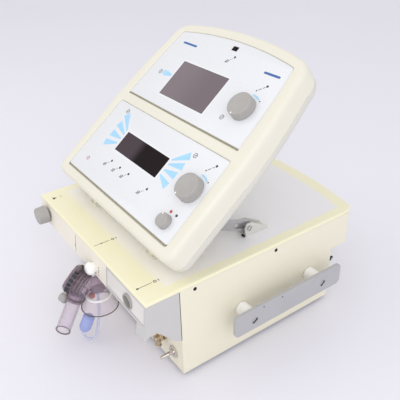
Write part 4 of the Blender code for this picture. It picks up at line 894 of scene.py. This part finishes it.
def build_prints(sizes):
    """Marks on the panels, the lid and the hood: wedges, dots, rings and bars, and no letters; on the hood
    an upright stroke paints the shade of a groove.
    """
    height = sizes.print_height / MM
    blue = [
        wedge((-77.5, 94.0), 2.6, (-105.0, 117.0), 12.5), wedge((-77.0, 87.0), 2.6, (-107.0, 98.0), 12.0),
        wedge((-77.0, 78.5), 2.6, (-107.5, 79.0), 12.0), wedge((-77.0, 70.0), 2.6, (-107.0, 60.5), 12.0),
        wedge((51.0, 94.0), 2.4, (77.5, 112.5), 12.5), wedge((51.0, 86.5), 2.4, (79.5, 95.0), 12.0),
        wedge((51.0, 77.0), 2.4, (78.5, 78.5), 12.0), wedge((51.0, 68.5), 2.4, (76.5, 60.0), 12.0),
        wedge((-78.5, 206.0), 3.0, (-94.5, 206.0), 10.0),
        wedge((-95.5, 206.0), 9.6, (-102.0, 206.0), 8.0),
        ring_print(101.3, 204.0, 23.2, 2.8, 58, 96, 16), ring_print(120.2, 75.2, 23.8, 2.8, 58, 96, 16),
    ]
    dots = [
        (18.0, 270.0, 1.9), (111.0, 246.0, 1.9), (99.0, 235.0, 1.1), (117.0, 222.5, 1.0),
        (130.0, 119.0, 1.9),
        (119.0, 107.0, 1.1), (136.0, 95.0, 1.0), (-58.0, 43.0, 1.9), (-31.0, 42.0, 1.9), (-5.0, 42.0, 1.9),
        (49.0, 41.0, 1.9),
    ]
    dark = [disc(x, y, radius) for x, y, radius in dots]
    grey = []
    for x, y in ((8.6, 260.5), (-68.0, 33.0), (-41.0, 33.0), (-15.5, 33.0), (38.0, 30.0)):
        grey.append(ring_print(x, y, 2.3, 0.9))
        grey.append(stroke((x - 4.0, y - 2.6), (x + 3.8, y + 2.4), 0.9))
        for shift in (4.6, 6.4):
            grey.append(
                stroke(
                    (x + shift - 0.7, y + shift * 0.9 - 0.5), (x + shift + 0.6, y + shift * 0.9 + 0.6), 0.9,
                )
            )
    for x, y in ((-109.0, 205.0), (-109.0, 121.5), (84.5, 116.5), (77.0, 181.0)):
        grey.append(ring_print(x, y, 3.4, 0.9))
        grey.append(stroke((x - 1.8, y - 1.4), (x + 1.8, y + 1.4), 1.1))
    for start, end in (((101.0, 236.6), (104.5, 240.2)), ((106.0, 241.2), (108.6, 243.8)),
                       ((121.0, 108.7), (124.0, 112.4)), ((125.4, 113.8), (127.6, 116.4))):
        grey.append(stroke(start, end, 1.1))
    red = [ring_print(-114.0, 24.0, 3.0, 0.8), stroke((-117.0, 22.0), (-111.0, 26.0), 0.8)]
    deep = [rounded(-110.0, -74.0, 264.0, 267.6, 1.4, 4), rounded(88.0, 120.0, 261.8, 265.4, 1.4, 4)]
    white = [disc(101.3, 204.0, 22.6, 40), disc(120.2, 75.2, 23.0, 40), disc(119.0, 21.5, 13.6, 32)]
    for name, shapes, material, top in (
        ("marks_light_blue", blue, "ink_light_blue", height),
        ("marks_dark", dark, "abs_moulded_black", height * 4),
        ("marks_grey", grey, "ink_dark_grey", height), ("marks_red", red, "ink_red", height),
        ("marks_deep_blue", deep, "ink_deep_blue", height),
        ("marks_knob_grounds", white, "ink_white", height * 0.5),
    ):
        print_shapes(name, shapes, 0.01, top, slab, material, "display")
    lamps = plate(disc(115.5, 37.0, 2.2), 0.01, 0.8, (), slab, 0.5)
    make_piece("lamp_red", lamps, "ink_red", "display")
    make_piece(
        "lamp_grey", plate(disc(128.5, 37.0, 2.0), 0.01, 0.8, (), slab, 0.5), "ink_dark_grey", "display",
    )
    lid = [
        stroke((139.0, FRONT_Y + 9.0), (139.0, FRONT_Y + 29.0), 0.9), disc(139.0, FRONT_Y + 8.0, 1.7),
        stroke((19.0, FRONT_Y + 5.0), (19.0, FRONT_Y + 30.0), 0.9), disc(19.0, FRONT_Y + 17.0, 1.4),
        np.array([(-149.5, FRONT_Y + 10.5), (-141.5, FRONT_Y + 10.5), (-145.5, FRONT_Y + 17.5)]),
        ring_print(139.0, FRONT_Y + 34.0, 1.9, 1.1), ring_print(19.0, FRONT_Y + 35.0, 1.9, 1.1),
    ]
    for x0, x1, depth, width in (
        (137.0, 141.0, 39.5, 1.1), (17.0, 21.0, 40.5, 1.1), (-148.0, -143.0, 25.0, 0.5),
        (-147.0, -144.0, 22.5, 0.5),
    ):
        lid.append(stroke((x0, FRONT_Y + depth), (x1, FRONT_Y + depth), width))
    print_shapes("lid_marks", lid, LID_TOP, LID_TOP + height, plain, "ink_dark_grey", "case")
    # Hood face: across, down from its top edge, and out of it
    down = np.array([0.0, -3.8, 113.5 - 148.25]) / math.hypot(3.8, 34.75)
    on_hood = placed(HOOD_TOP, ACROSS, down, np.cross(down, [1.0, 0.0, 0.0]))
    # The upright stroke paints the shade of a groove in the hood face; the slanted stroke and the dots are
    # drawn as marks.
    face = [stroke((-35.0, 3.0), (-35.0, 32.0), 1.0), stroke((-38.2, 19.0), (-35.0, 26.0), 1.0)]
    face += [
        disc(*dot) for dot in ((42.0, 17.0, 1.1), (43.0, 21.0, 1.4), (42.0, 25.0, 1.1), (43.2, 29.0, 1.0))
    ]
    print_shapes("hood_marks_and_groove_shade", face, -0.05, 0.08, on_hood, "ink_dark_grey", "case")


# ---------------------------------------------------------------- knobs


def knob_profile(radius, height):
    """Skirt, a side that draws in a little, a rounded shoulder and a shallow dished top."""
    shoulder = 1.9
    a = np.linspace(0.0, math.pi / 2, 8)
    top = [
        (radius - 0.7 - shoulder + shoulder * math.cos(t), height - shoulder + shoulder * math.sin(t))
        for t in a
    ]
    dish = [
        (radius * 0.72, height - 0.05), (radius * 0.6, height - 0.35), (radius * 0.3, height - 0.5),
        (0.0, height - 0.5),
    ]
    return [(0.0, 0.5), (radius - 0.3, 0.5), (radius, 0.9), (radius, 2.0)] + top + dish


def build_knobs():
    """Turned knobs with a white dot, on the slab's face."""
    for which, (x, up, radius, height, dot_angle) in KNOBS.items():
        centre = slab((x, up, 0.0))
        make_piece(f"{which}_knob_skin", [turned(knob_profile(radius, height), centre, SLAB_OUT, 96)],
                   "knob_grey_and_port_shade", f"{which}_knob", (f"{which}_knob",), 50.0)
        a = math.radians(dot_angle)
        reach = radius - 2.6
        size = 1.5 if which != "small" else 1.2
        spot = slab((x + reach * math.cos(a), up + reach * math.sin(a), height - 0.15))
        dot = [(0.0, 0.35), (size * 0.7, 0.3), (size, 0.05), (size, -0.3), (0.0, -0.3)]
        make_piece(
            f"{which}_knob_dot", [turned(dot, spot, SLAB_OUT, 20)], "abs_moulded_white", f"{which}_knob",
        )


# ---------------------------------------------------------------- stays


def build_stays():
    """Stay arms, brackets and pin caps, and the hinge's brackets and shaft."""
    for side, word in ((-1, "left"), (1, "right")):
        softened(f"stay_arm_{word}", "steel_zinc_plated", 0.5, 2)
        softened(f"stay_bracket_{word}", "zinc_die_cast_satin", 0.5, 2)
        dress("steel_zinc_plated", f"stay_pin_{word}")
        softened(f"hinge_bracket_{word}", "abs_moulded_shell", 0.5, 2)
        head, bars = screw_parts(
            (side * 134.8, FRONT_Y + 198.0, 166.0), (side, 0.0, 0.0), 3.4, 0.5, 50.0, False, 0.2,
        )
        make_piece(f"stay_pin_cap_{word}", [head], "zinc_die_cast_satin", "case")
        # Dark bar that paints the shade inside the pin cap's slot.
        make_piece(f"stay_pin_slot_{word}", bars, "black_oxide_and_slot_shade", "case")
        stop = [(0.0, 6.0), (1.4, 5.8), (1.8, 5.2), (1.8, 0.4), (1.4, 0.0), (0.0, 0.0)]
        stop = turned(stop, (side * 127.6, FRONT_Y + 188.6, 155.6), (side, 0.0, 0.0), 20)
        make_piece(f"stay_stop_{word}", [stop], "black_rubber_and_seam_shade", "case")
    dress("steel_chrome_plated", "hinge_shaft")


# ---------------------------------------------------------------- valve


def ring_profile(inner, outer, low, high, edge):
    """Closed ring section with chamfered edges."""
    return [
        (inner, low + edge), (inner + edge, low), (outer - edge, low), (outer, low + edge),
        (outer, high - edge),
        (outer - edge, high), (inner + edge, high), (inner, high - edge), (inner, low + edge),
    ]


def build_valve():
    """Exhalation valve: ribs, lock ring with cap, grip, spokes and paddle, tube and trap bowl."""
    dress("polysulfone_moulded_smoky", "valve_body")
    dress("silicone_moulded_red", "valve_diaphragm")
    dress("polypropylene_blue", "pilot_connector")
    dress("knob_grey_and_port_shade", "pressure_port")
    ribs = [
        turned(ring_profile(17.2, 18.9, h, h + 1.6, 0.4), VALVE, VALVE_AXIS, 56) for h in (-0.5, 4.5, 9.2)
    ]
    ribs.append(turned(ring_profile(13.2, 14.6, 6.0, 9.0, 0.4), OUTLET_START, OUTLET_AXIS, 48))
    make_piece("valve_body_ribs", ribs, "abs_moulded_brown_grey", "case")
    cap = [
        (0.0, 24.0), (19.4, 24.0), (21.0, 22.8), (21.6, 21.2), (21.6, 13.2), (18.6, 13.2), (18.6, 21.4),
        (0.0, 21.4),
    ]
    make_piece(
        "lock_ring_cap", [turned(cap, VALVE, VALVE_AXIS, 64)], "polysulfone_moulded_smoky", "lock_ring",
        ("valve_lock_ring",),
    )

    def notched(r, h, a):
        """Radius cut back by 7% over half of each of 18 notches, on the outer side only."""
        cut = 1.0 - 0.07 * (np.sin(18 * a) > 0.0)
        return np.where((r > 21.7)[:, None], cut[None, :], 1.0)

    ring = [
        (20.2, 14.0), (22.6, 14.0), (23.2, 14.6), (23.2, 19.4), (22.6, 20.0), (20.2, 20.0), (20.2, 14.0),
    ]
    make_piece(
        "lock_ring_grip", [turned(ring, VALVE, VALVE_AXIS, 216, notched)], "abs_moulded_black", "lock_ring",
    )
    spokes = []
    e1, e2, e3 = axes_for(VALVE_AXIS)
    for k in range(6):
        a = math.tau * k / 6 + 0.3
        out = e1 * math.cos(a) + e2 * math.sin(a)
        spokes.append(tube([VALVE + e3 * 24.2 + out * reach for reach in (4.0, 12.0, 18.5)], 0.8, 8))
    spokes.append(turned(ring_profile(17.6, 19.2, 23.4, 24.8, 0.3), VALVE, VALVE_AXIS, 56))
    spokes.append(turned(ring_profile(3.0, 5.0, 23.4, 25.2, 0.3), VALVE, VALVE_AXIS, 32))
    make_piece("lock_ring_spokes", spokes, "polysulfone_moulded_smoky", "lock_ring")
    lever = np.array([0.48, 0.17, 0.86])
    lever -= VALVE_AXIS * lever.dot(VALVE_AXIS)
    lever /= np.linalg.norm(lever)
    start = VALVE + VALVE_AXIS * 17.0 + lever * 19.5
    widths = [(0.0, 0.5), (1.5, 3.0), (4.0, 4.0), (8.0, 4.4), (11.0, 3.9), (12.6, 2.4), (13.2, 0.4)]
    side = np.cross(lever, VALVE_AXIS)
    a = np.arange(28) * math.tau / 28
    loops = [
        start + lever * h + np.cos(a)[:, None] * side * w * 1.15 + np.sin(a)[:, None] * VALVE_AXIS * w * 0.62
        for h, w in widths
    ]
    make_piece("lock_ring_paddle", [rings(loops, (True, True))], "abs_moulded_brown_grey", "lock_ring")
    inner = turned(ring_profile(8.0, 10.5, 3.5, 6.0, 0.5), VALVE, VALVE_AXIS, 40)
    make_piece("valve_seat_ring", [inner], "abs_moulded_white", "case")
    wall = [
        (9.4, 0.3), (11.0, 0.3), (11.0, 61.4), (11.3, 61.8), (11.3, 63.2), (10.9, 63.6), (9.5, 63.6),
        (9.4, 63.0), (9.4, 0.3),
    ]
    tube_start = OUTLET_START + OUTLET_AXIS * 1.4
    make_piece(
        "outlet_tube_skin", [turned(wall, tube_start, OUTLET_AXIS, 64)], "polycarbonate_moulded_clear",
        "case", ("outlet_tube",),
    )
    rim = turned(ring_profile(9.3, 11.45, 62.2, 63.6, 0.3), tube_start, OUTLET_AXIS, 56)
    bowl_rim = turned(ring_profile(26.9, 28.7, 28.2, 29.2, 0.3), BOWL_TOP, DOWN, 72)
    make_piece("clear_rims", [rim, bowl_rim], "abs_moulded_brown_grey", "case")
    outer = smooth_line(
        [(0.0, 0.0), (11.0, 0.2), (13.6, 2.4), (16.0, 6.0), (20.4, 13.0), (24.2, 20.0), (28.5, 29.0)], 5,
    )
    inside = smooth_line(
        [(27.1, 29.0), (22.8, 20.4), (18.8, 13.4), (14.6, 7.5), (12.0, 3.6), (10.2, 1.8), (0.0, 1.6)], 5,
    )
    bowl = turned(np.maximum(np.concatenate([outer, inside]), 0.0), BOWL_TOP, DOWN, 72)
    make_piece(
        "trap_bowl_skin", [bowl], "polycarbonate_moulded_clear", "case", ("trap_bowl",),
    )
    # White collar round the bowl's neck: partly a white ring, partly a painted highlight standing for the
    # bright band across the bowl.
    collar = turned(ring_profile(16.4, 19.6, 7.2, 10.2, 0.7), BOWL_TOP, DOWN, 56)
    make_piece("trap_bowl_collar_and_highlight", [collar], "abs_moulded_white", "case")
    buoy = [(0.0, 6.0), (3.4, 6.6), (4.6, 9.0), (4.6, 12.0), (3.0, 14.0), (0.0, 14.6)]
    buoy = turned(buoy, BOWL_TOP + np.array([-4.0, -9.0, 0.0]), DOWN, 28)
    make_piece("trap_bowl_float", [buoy], "silicone_moulded_red", "case")
    build_pilot_hose()


def build_pilot_hose():
    """Half turn of 10 mm out of the connector, then a cubic Bezier curve up into the bowl."""
    leaving = unit(-0.10, -0.42, -0.90)
    start = np.array([32.0, FRONT_Y - 22.5, 46.5]) + leaving * 27.3
    across = np.array([0.60, 0.80, 0.0])
    across -= leaving * across.dot(leaving)
    across /= np.linalg.norm(across)
    a = np.linspace(0, math.pi, 25)[:, None]
    turn = start + leaving * 2.0 + across * 10.0 * (1 - np.cos(a)) + leaving * 10.0 * np.sin(a)
    end = np.array([29.0, FRONT_Y - 4.0, 78.4])
    t = np.linspace(0, 1, 33)[1:, None]
    first, second = turn[-1] - leaving * 18.0, end - np.array([0.0, 0.0, 24.0])
    rise = turn[-1] * (1 - t) ** 3 + first * 3 * t * (1 - t) ** 2 + second * 3 * t**2 * (1 - t) + end * t**3
    path = np.concatenate([start[None], turn, rise])
    hose = make_piece(
        "pilot_hose_skin", [tube(path, 2.0, 16)], "pvc_tubing_clear", "case",
        ("pilot_hose",),
    )


# ---------------------------------------------------------------- fittings


def build_fittings():
    """Flow knob, release button, gas nipple and oxygen elbow."""
    radius = 14.7
    centre = np.array([-143.0, FRONT_Y - 21.8, 131.0])
    a = np.linspace(math.pi / 2, 0, 7)
    front = [(0.0, 0.35), (radius * 0.55, 0.3), (radius - 4.6, 0.0)]
    edge = [(radius - 3.2 + 2.4 * math.cos(t), 2.4 - 2.4 * math.sin(t)) for t in a]
    profile = front + edge + [(radius, 16.4), (radius - 1.2, 17.6), (4.0, 17.6), (4.0, 30.0), (0.0, 30.0)]

    def fluted(r, h, angle):
        """Side drawn in by 2.4% between 16 soft flutes."""
        depth = 0.024 * (0.5 + 0.5 * np.cos(16 * angle)) ** 3
        return 1.0 - np.where((r > radius - 1.6)[:, None], depth[None, :], 0.0)

    make_piece(
        "flow_knob_skin", [turned(profile, centre, (0, 1, 0), 128, fluted)], "knob_grey_and_port_shade",
        "flow_knob", ("flow_knob",),
    )
    button = [
        (0.0, 0.0), (3.0, 0.15), (5.6, 0.9), (7.6, 2.4), (9.2, 5.0), (9.8, 7.8), (9.8, 9.5), (7.9, 9.5),
        (7.9, 20.0), (0.0, 20.0),
    ]
    line = smooth_line(button[:6], 4)
    button = turned(np.concatenate([line, button[6:]]), (27.0, FRONT_Y - 15.9, 124.0), (0, 1, 0), 56)
    make_piece(
        "release_button_skin", [button], "abs_moulded_white", "release_button",
        ("release_button",),
    )
    nipple = [(0.0, -22.5), (1.4, -22.5), (2.4, -21.8), (2.8, -20.8)]
    for k in range(4):
        nipple += [(2.8, -19.6 + 2.2 * k), (2.35, -18.9 + 2.2 * k), (2.8, -17.9 + 2.2 * k)]
    nipple += [
        (2.8, -5.4), (3.4, -5.0), (5.0, -4.4), (5.0, -2.8), (9.0, -2.4), (9.6, -1.8), (9.6, -0.3),
        (0.0, -0.3),
    ]
    place = (148.6, FRONT_Y + 50.0, 24.7)
    make_piece(
        "gas_nipple_skin", [turned(nipple, place, (0, 1, 0), 48)], "steel_chrome_plated", "case",
        ("gas_nipple",),
    )
    dress("brass_nickel_plated", "oxygen_fitting")
    hexagon = turned(
        [(0.0, -9.6), (7.4, -9.6), (7.9, -9.0), (7.9, -5.6), (7.4, -5.0), (0.0, -5.0)],
        (124.0, FRONT_Y + 49.7, 38.0), (0, 1, 0), 6,
    )
    make_piece("oxygen_nut", [hexagon], "brass_nickel_plated", "case", sharp=20.0)
    ends = turned(
        [(1.6, -3.2), (4.6, -3.2), (5.2, -2.0), (4.6, -0.8), (1.6, -0.8), (1.6, -3.2)],
        (124.0, FRONT_Y + 39.2, 26.0), (0, 0, 1), 32,
    )
    make_piece("oxygen_drop_collar", [ends], "steel_chrome_plated", "case")


# ---------------------------------------------------------------- rear and inside


def build_rear():
    """Fan guard, rear screws, bonding pin and the pins of the mains inlet."""
    centre = np.array([96.0, REAR_Y, 46.0])
    guard = []
    a = np.linspace(0, math.tau, 73)[:-1]
    for radius in (6.0, 12.0, 18.0, 24.0, 29.0):
        out = np.stack([np.cos(a), 0 * a, np.sin(a)], 1)
        loop = centre + np.array([0.0, 2.2, 0.0]) + radius * out
        section = np.linspace(0, math.tau, 9)[:-1]
        wire = [loop + 0.8 * (math.cos(s) * out + math.sin(s) * BACKWARD) for s in section]
        guard.append(rings(wire + [loop + 0.8 * out]))
    for k in range(4):
        s = math.radians(45 + 90 * k)
        out = np.array([math.cos(s), 0.0, math.sin(s)])
        base = centre + np.array([0.0, 1.2, 0.0])
        guard.append(tube([base + out * 3.0, base + out * 18.0, base + out * 34.0], 0.8, 8))
    make_piece("fan_guard_wires", guard, "steel_chrome_plated", "case")
    corners = [centre + np.array([x, 0.0, z]) for x in (-25.0, 25.0) for z in (-25.0, 25.0)]
    corners += [np.array([x, REAR_Y, z]) for x in (-160.0, 160.0) for z in (8.0, 84.0)]
    corners += [np.array([x, FRONT_Y + 336.5, 42.0]) for x in (-119.5, -88.5)]
    add_screws(
        "rear_screw", corners, lambda c: (0.0, 1.0, 0.0), 2.6, 1.1, "steel_zinc_plated", "case", True,
    )
    bond = [
        (0.0, 0.0), (5.0, 0.0), (5.0, 3.0), (4.2, 3.4), (4.2, 8.6), (3.4, 9.4), (2.2, 9.4), (2.2, 14.0),
        (1.6, 14.8), (0.0, 14.8),
    ]
    make_piece(
        "bonding_pin", [turned(bond[::-1], (164.6, REAR_Y, 66.0), (0.0, 1.0, 0.0), 32)],
        "abs_moulded_black", "case",
    )
    pins = []
    for x, z in ((-104.0, 33.5), (-110.0, 27.5), (-98.0, 27.5)):
        pins += block((x - 1.0, FRONT_Y + 319.5, z - 2.6), (x + 1.0, FRONT_Y + 331.0, z + 2.6))
    make_piece("inlet_pins", pins, "steel_chrome_plated", "case")
    dress(
        "abs_moulded_black", "mains_inlet", "power_rocker", "fan_frame", "fan_rotor", "blower_housing",
        "battery_pack",
    )


def build_inside():
    """Finishes of the pieces inside the case."""
    dress("zinc_die_cast_satin", "gas_manifold", "blower_rotor")
    dress("steel_zinc_plated", "power_supply")
    dress("glass_epoxy_green", "main_board")


# ---------------------------------------------------------------- stage


def build_stage(stage):
    """Table, studio light and the camera, which looks along azimuth, elevation and roll."""
    # Matt laminate: even and pale, so the object stands on a quiet ground
    grained("table_laminate_pale", stage.floor, "#e9e8ef", 0.6, 700.0, 3.0, 0.02)
    t = np.linspace(-3000.0, 3000.0, 9)
    x, y = np.meshgrid(t, t)
    points = np.stack([x, y, np.full_like(x, -6.0)], -1)
    mesh = bpy.data.meshes.new("table_top")
    mesh.from_pydata((points.reshape(-1, 3) * MM).tolist(), [], strip_faces(9, 9, False))
    table = bpy.data.objects.new("table_top", mesh)
    mesh.materials.append(bpy.data.materials["table_laminate_pale"])
    bpy.context.scene.collection.objects.link(table)

    scene = bpy.context.scene
    scene.view_settings.view_transform = "Standard"
    world = bpy.data.worlds.new("studio_white")
    scene.world = world
    world.use_nodes = True
    sky = world.node_tree.nodes["Background"]
    sky.inputs["Color"].default_value = (*linear("#f3f3f6"), 1.0)
    sky.inputs["Strength"].default_value = 0.95
    for name, place, target, size, power, colour in (
        ("key_softbox", (-0.9, -1.1, 1.7), (0.0, 0.0, 0.1), 1.5, stage.key_power, "#fffaf2"),
        ("fill_softbox", (1.8, -0.9, 1.3), (0.0, 0.0, 0.1), 1.6, stage.fill_power, "#f4f4ff"),
    ):
        lamp = bpy.data.lights.new(name, "AREA")
        lamp.size = size
        lamp.energy = power
        lamp.color = linear(colour)
        holder = bpy.data.objects.new(name, lamp)
        holder.location = place
        holder.rotation_mode = "QUATERNION"
        holder.rotation_quaternion = (Vector(target) - Vector(place)).to_track_quat("-Z", "Y")
        scene.collection.objects.link(holder)

    azimuth, elevation, roll = math.radians(55.51), math.radians(30.66), math.radians(-1.64)
    back = Vector(
        (
            math.sin(azimuth) * math.cos(elevation), -math.cos(azimuth) * math.cos(elevation),
            math.sin(elevation),
        )
    )
    right = Vector((math.cos(azimuth), math.sin(azimuth), 0.0))
    up = back.cross(right)
    camera = bpy.data.cameras.new("camera")
    camera.lens = stage.lens
    camera.sensor_width = 36.0
    camera.clip_start, camera.clip_end = 0.05, 20.0
    holder = bpy.data.objects.new("camera", camera)
    across = right * math.cos(roll) + up * math.sin(roll)
    above = up * math.cos(roll) - right * math.sin(roll)
    turn = Matrix((across, above, back)).transposed().to_4x4()
    holder.matrix_world = Matrix.Translation((0.6319, -0.4218, 0.6028)) @ turn
    scene.collection.objects.link(holder)
    scene.camera = holder


# ---------------------------------------------------------------- operators and panel


class VENTILATOR_OT_materials(bpy.types.Operator):
    """Make the finishes"""

    bl_idname = "ventilator.materials"
    bl_label = "Finishes"

    def execute(self, context):
        make_materials(context.scene.ventilator_finishes)
        return {"FINISHED"}


class VENTILATOR_OT_case(bpy.types.Operator):
    """Dress the case, its hood and feet, and add the cover screws"""

    bl_idname = "ventilator.case"
    bl_label = "Case"

    def execute(self, context):
        build_case(context.scene.ventilator_sizes)
        return {"FINISHED"}


class VENTILATOR_OT_rails(bpy.types.Operator):
    """Round and finish the side rails, and add their screws"""

    bl_idname = "ventilator.rails"
    bl_label = "Rails"

    def execute(self, context):
        build_rails(context.scene.ventilator_sizes)
        return {"FINISHED"}


class VENTILATOR_OT_display(bpy.types.Operator):
    """Make the display's frame, printed panels and screens"""

    bl_idname = "ventilator.display"
    bl_label = "Display"

    def execute(self, context):
        build_bezel(context.scene.ventilator_sizes)
        build_panels()
        return {"FINISHED"}


class VENTILATOR_OT_prints(bpy.types.Operator):
    """Print the marks on the panels, the lid and the hood"""

    bl_idname = "ventilator.prints"
    bl_label = "Prints"

    def execute(self, context):
        build_prints(context.scene.ventilator_sizes)
        return {"FINISHED"}


class VENTILATOR_OT_knobs(bpy.types.Operator):
    """Make the three knobs on the display"""

    bl_idname = "ventilator.knobs"
    bl_label = "Knobs"

    def execute(self, context):
        build_knobs()
        return {"FINISHED"}


class VENTILATOR_OT_stays(bpy.types.Operator):
    """Round and finish the stays and the hinge"""

    bl_idname = "ventilator.stays"
    bl_label = "Stays"

    def execute(self, context):
        build_stays()
        return {"FINISHED"}


class VENTILATOR_OT_valve(bpy.types.Operator):
    """Make the exhalation valve, its tube, bowl and hose"""

    bl_idname = "ventilator.valve"
    bl_label = "Exhalation valve"

    def execute(self, context):
        build_valve()
        return {"FINISHED"}


class VENTILATOR_OT_fittings(bpy.types.Operator):
    """Make the front knob, the button and the gas fittings"""

    bl_idname = "ventilator.fittings"
    bl_label = "Front fittings"

    def execute(self, context):
        build_fittings()
        return {"FINISHED"}


class VENTILATOR_OT_rear(bpy.types.Operator):
    """Make the fan guard and inlet pins, and dress the rear and the inside"""

    bl_idname = "ventilator.rear"
    bl_label = "Rear and inside"

    def execute(self, context):
        build_rear()
        build_inside()
        return {"FINISHED"}


class VENTILATOR_OT_stage(bpy.types.Operator):
    """Make the table, the lights and the camera"""

    bl_idname = "ventilator.stage"
    bl_label = "Stage"

    def execute(self, context):
        build_stage(context.scene.ventilator_stage)
        return {"FINISHED"}


OPERATORS = (
    VENTILATOR_OT_materials, VENTILATOR_OT_case, VENTILATOR_OT_rails, VENTILATOR_OT_display,
    VENTILATOR_OT_prints,
    VENTILATOR_OT_knobs, VENTILATOR_OT_stays, VENTILATOR_OT_valve, VENTILATOR_OT_fittings,
    VENTILATOR_OT_rear,
    VENTILATOR_OT_stage,
)


class VENTILATOR_PT_looks(bpy.types.Panel):
    """Lists the steps and the settings"""

    bl_idname = "VENTILATOR_PT_looks"
    bl_label = "Ventilator"
    bl_space_type = "VIEW_3D"
    bl_region_type = "UI"
    bl_category = "Ventilator"

    def draw(self, context):
        for operator in OPERATORS:
            self.layout.operator(operator.bl_idname)
        for group in ("ventilator_finishes", "ventilator_sizes", "ventilator_stage"):
            settings = getattr(context.scene, group)
            for name in settings.__annotations__:
                self.layout.prop(settings, name)


SETTINGS = (
    ("ventilator_finishes", VentilatorFinishSettings), ("ventilator_sizes", VentilatorSizeSettings),
    ("ventilator_stage", VentilatorStageSettings),
)


def register():
    for name, group in SETTINGS:
        bpy.utils.register_class(group)
        setattr(bpy.types.Scene, name, bpy.props.PointerProperty(type=group))
    for operator in OPERATORS:
        bpy.utils.register_class(operator)
    bpy.utils.register_class(VENTILATOR_PT_looks)


def unregister():
    bpy.utils.unregister_class(VENTILATOR_PT_looks)
    for operator in reversed(OPERATORS):
        bpy.utils.unregister_class(operator)
    for name, group in reversed(SETTINGS):
        delattr(bpy.types.Scene, name)
        bpy.utils.unregister_class(group)


def main():
    register()
    for step in (
        "materials", "case", "rails", "display", "prints", "knobs", "stays", "valve", "fittings", "rear",
        "stage",
    ):
        getattr(bpy.ops.ventilator, step)()


if __name__ == "__main__":
    main()
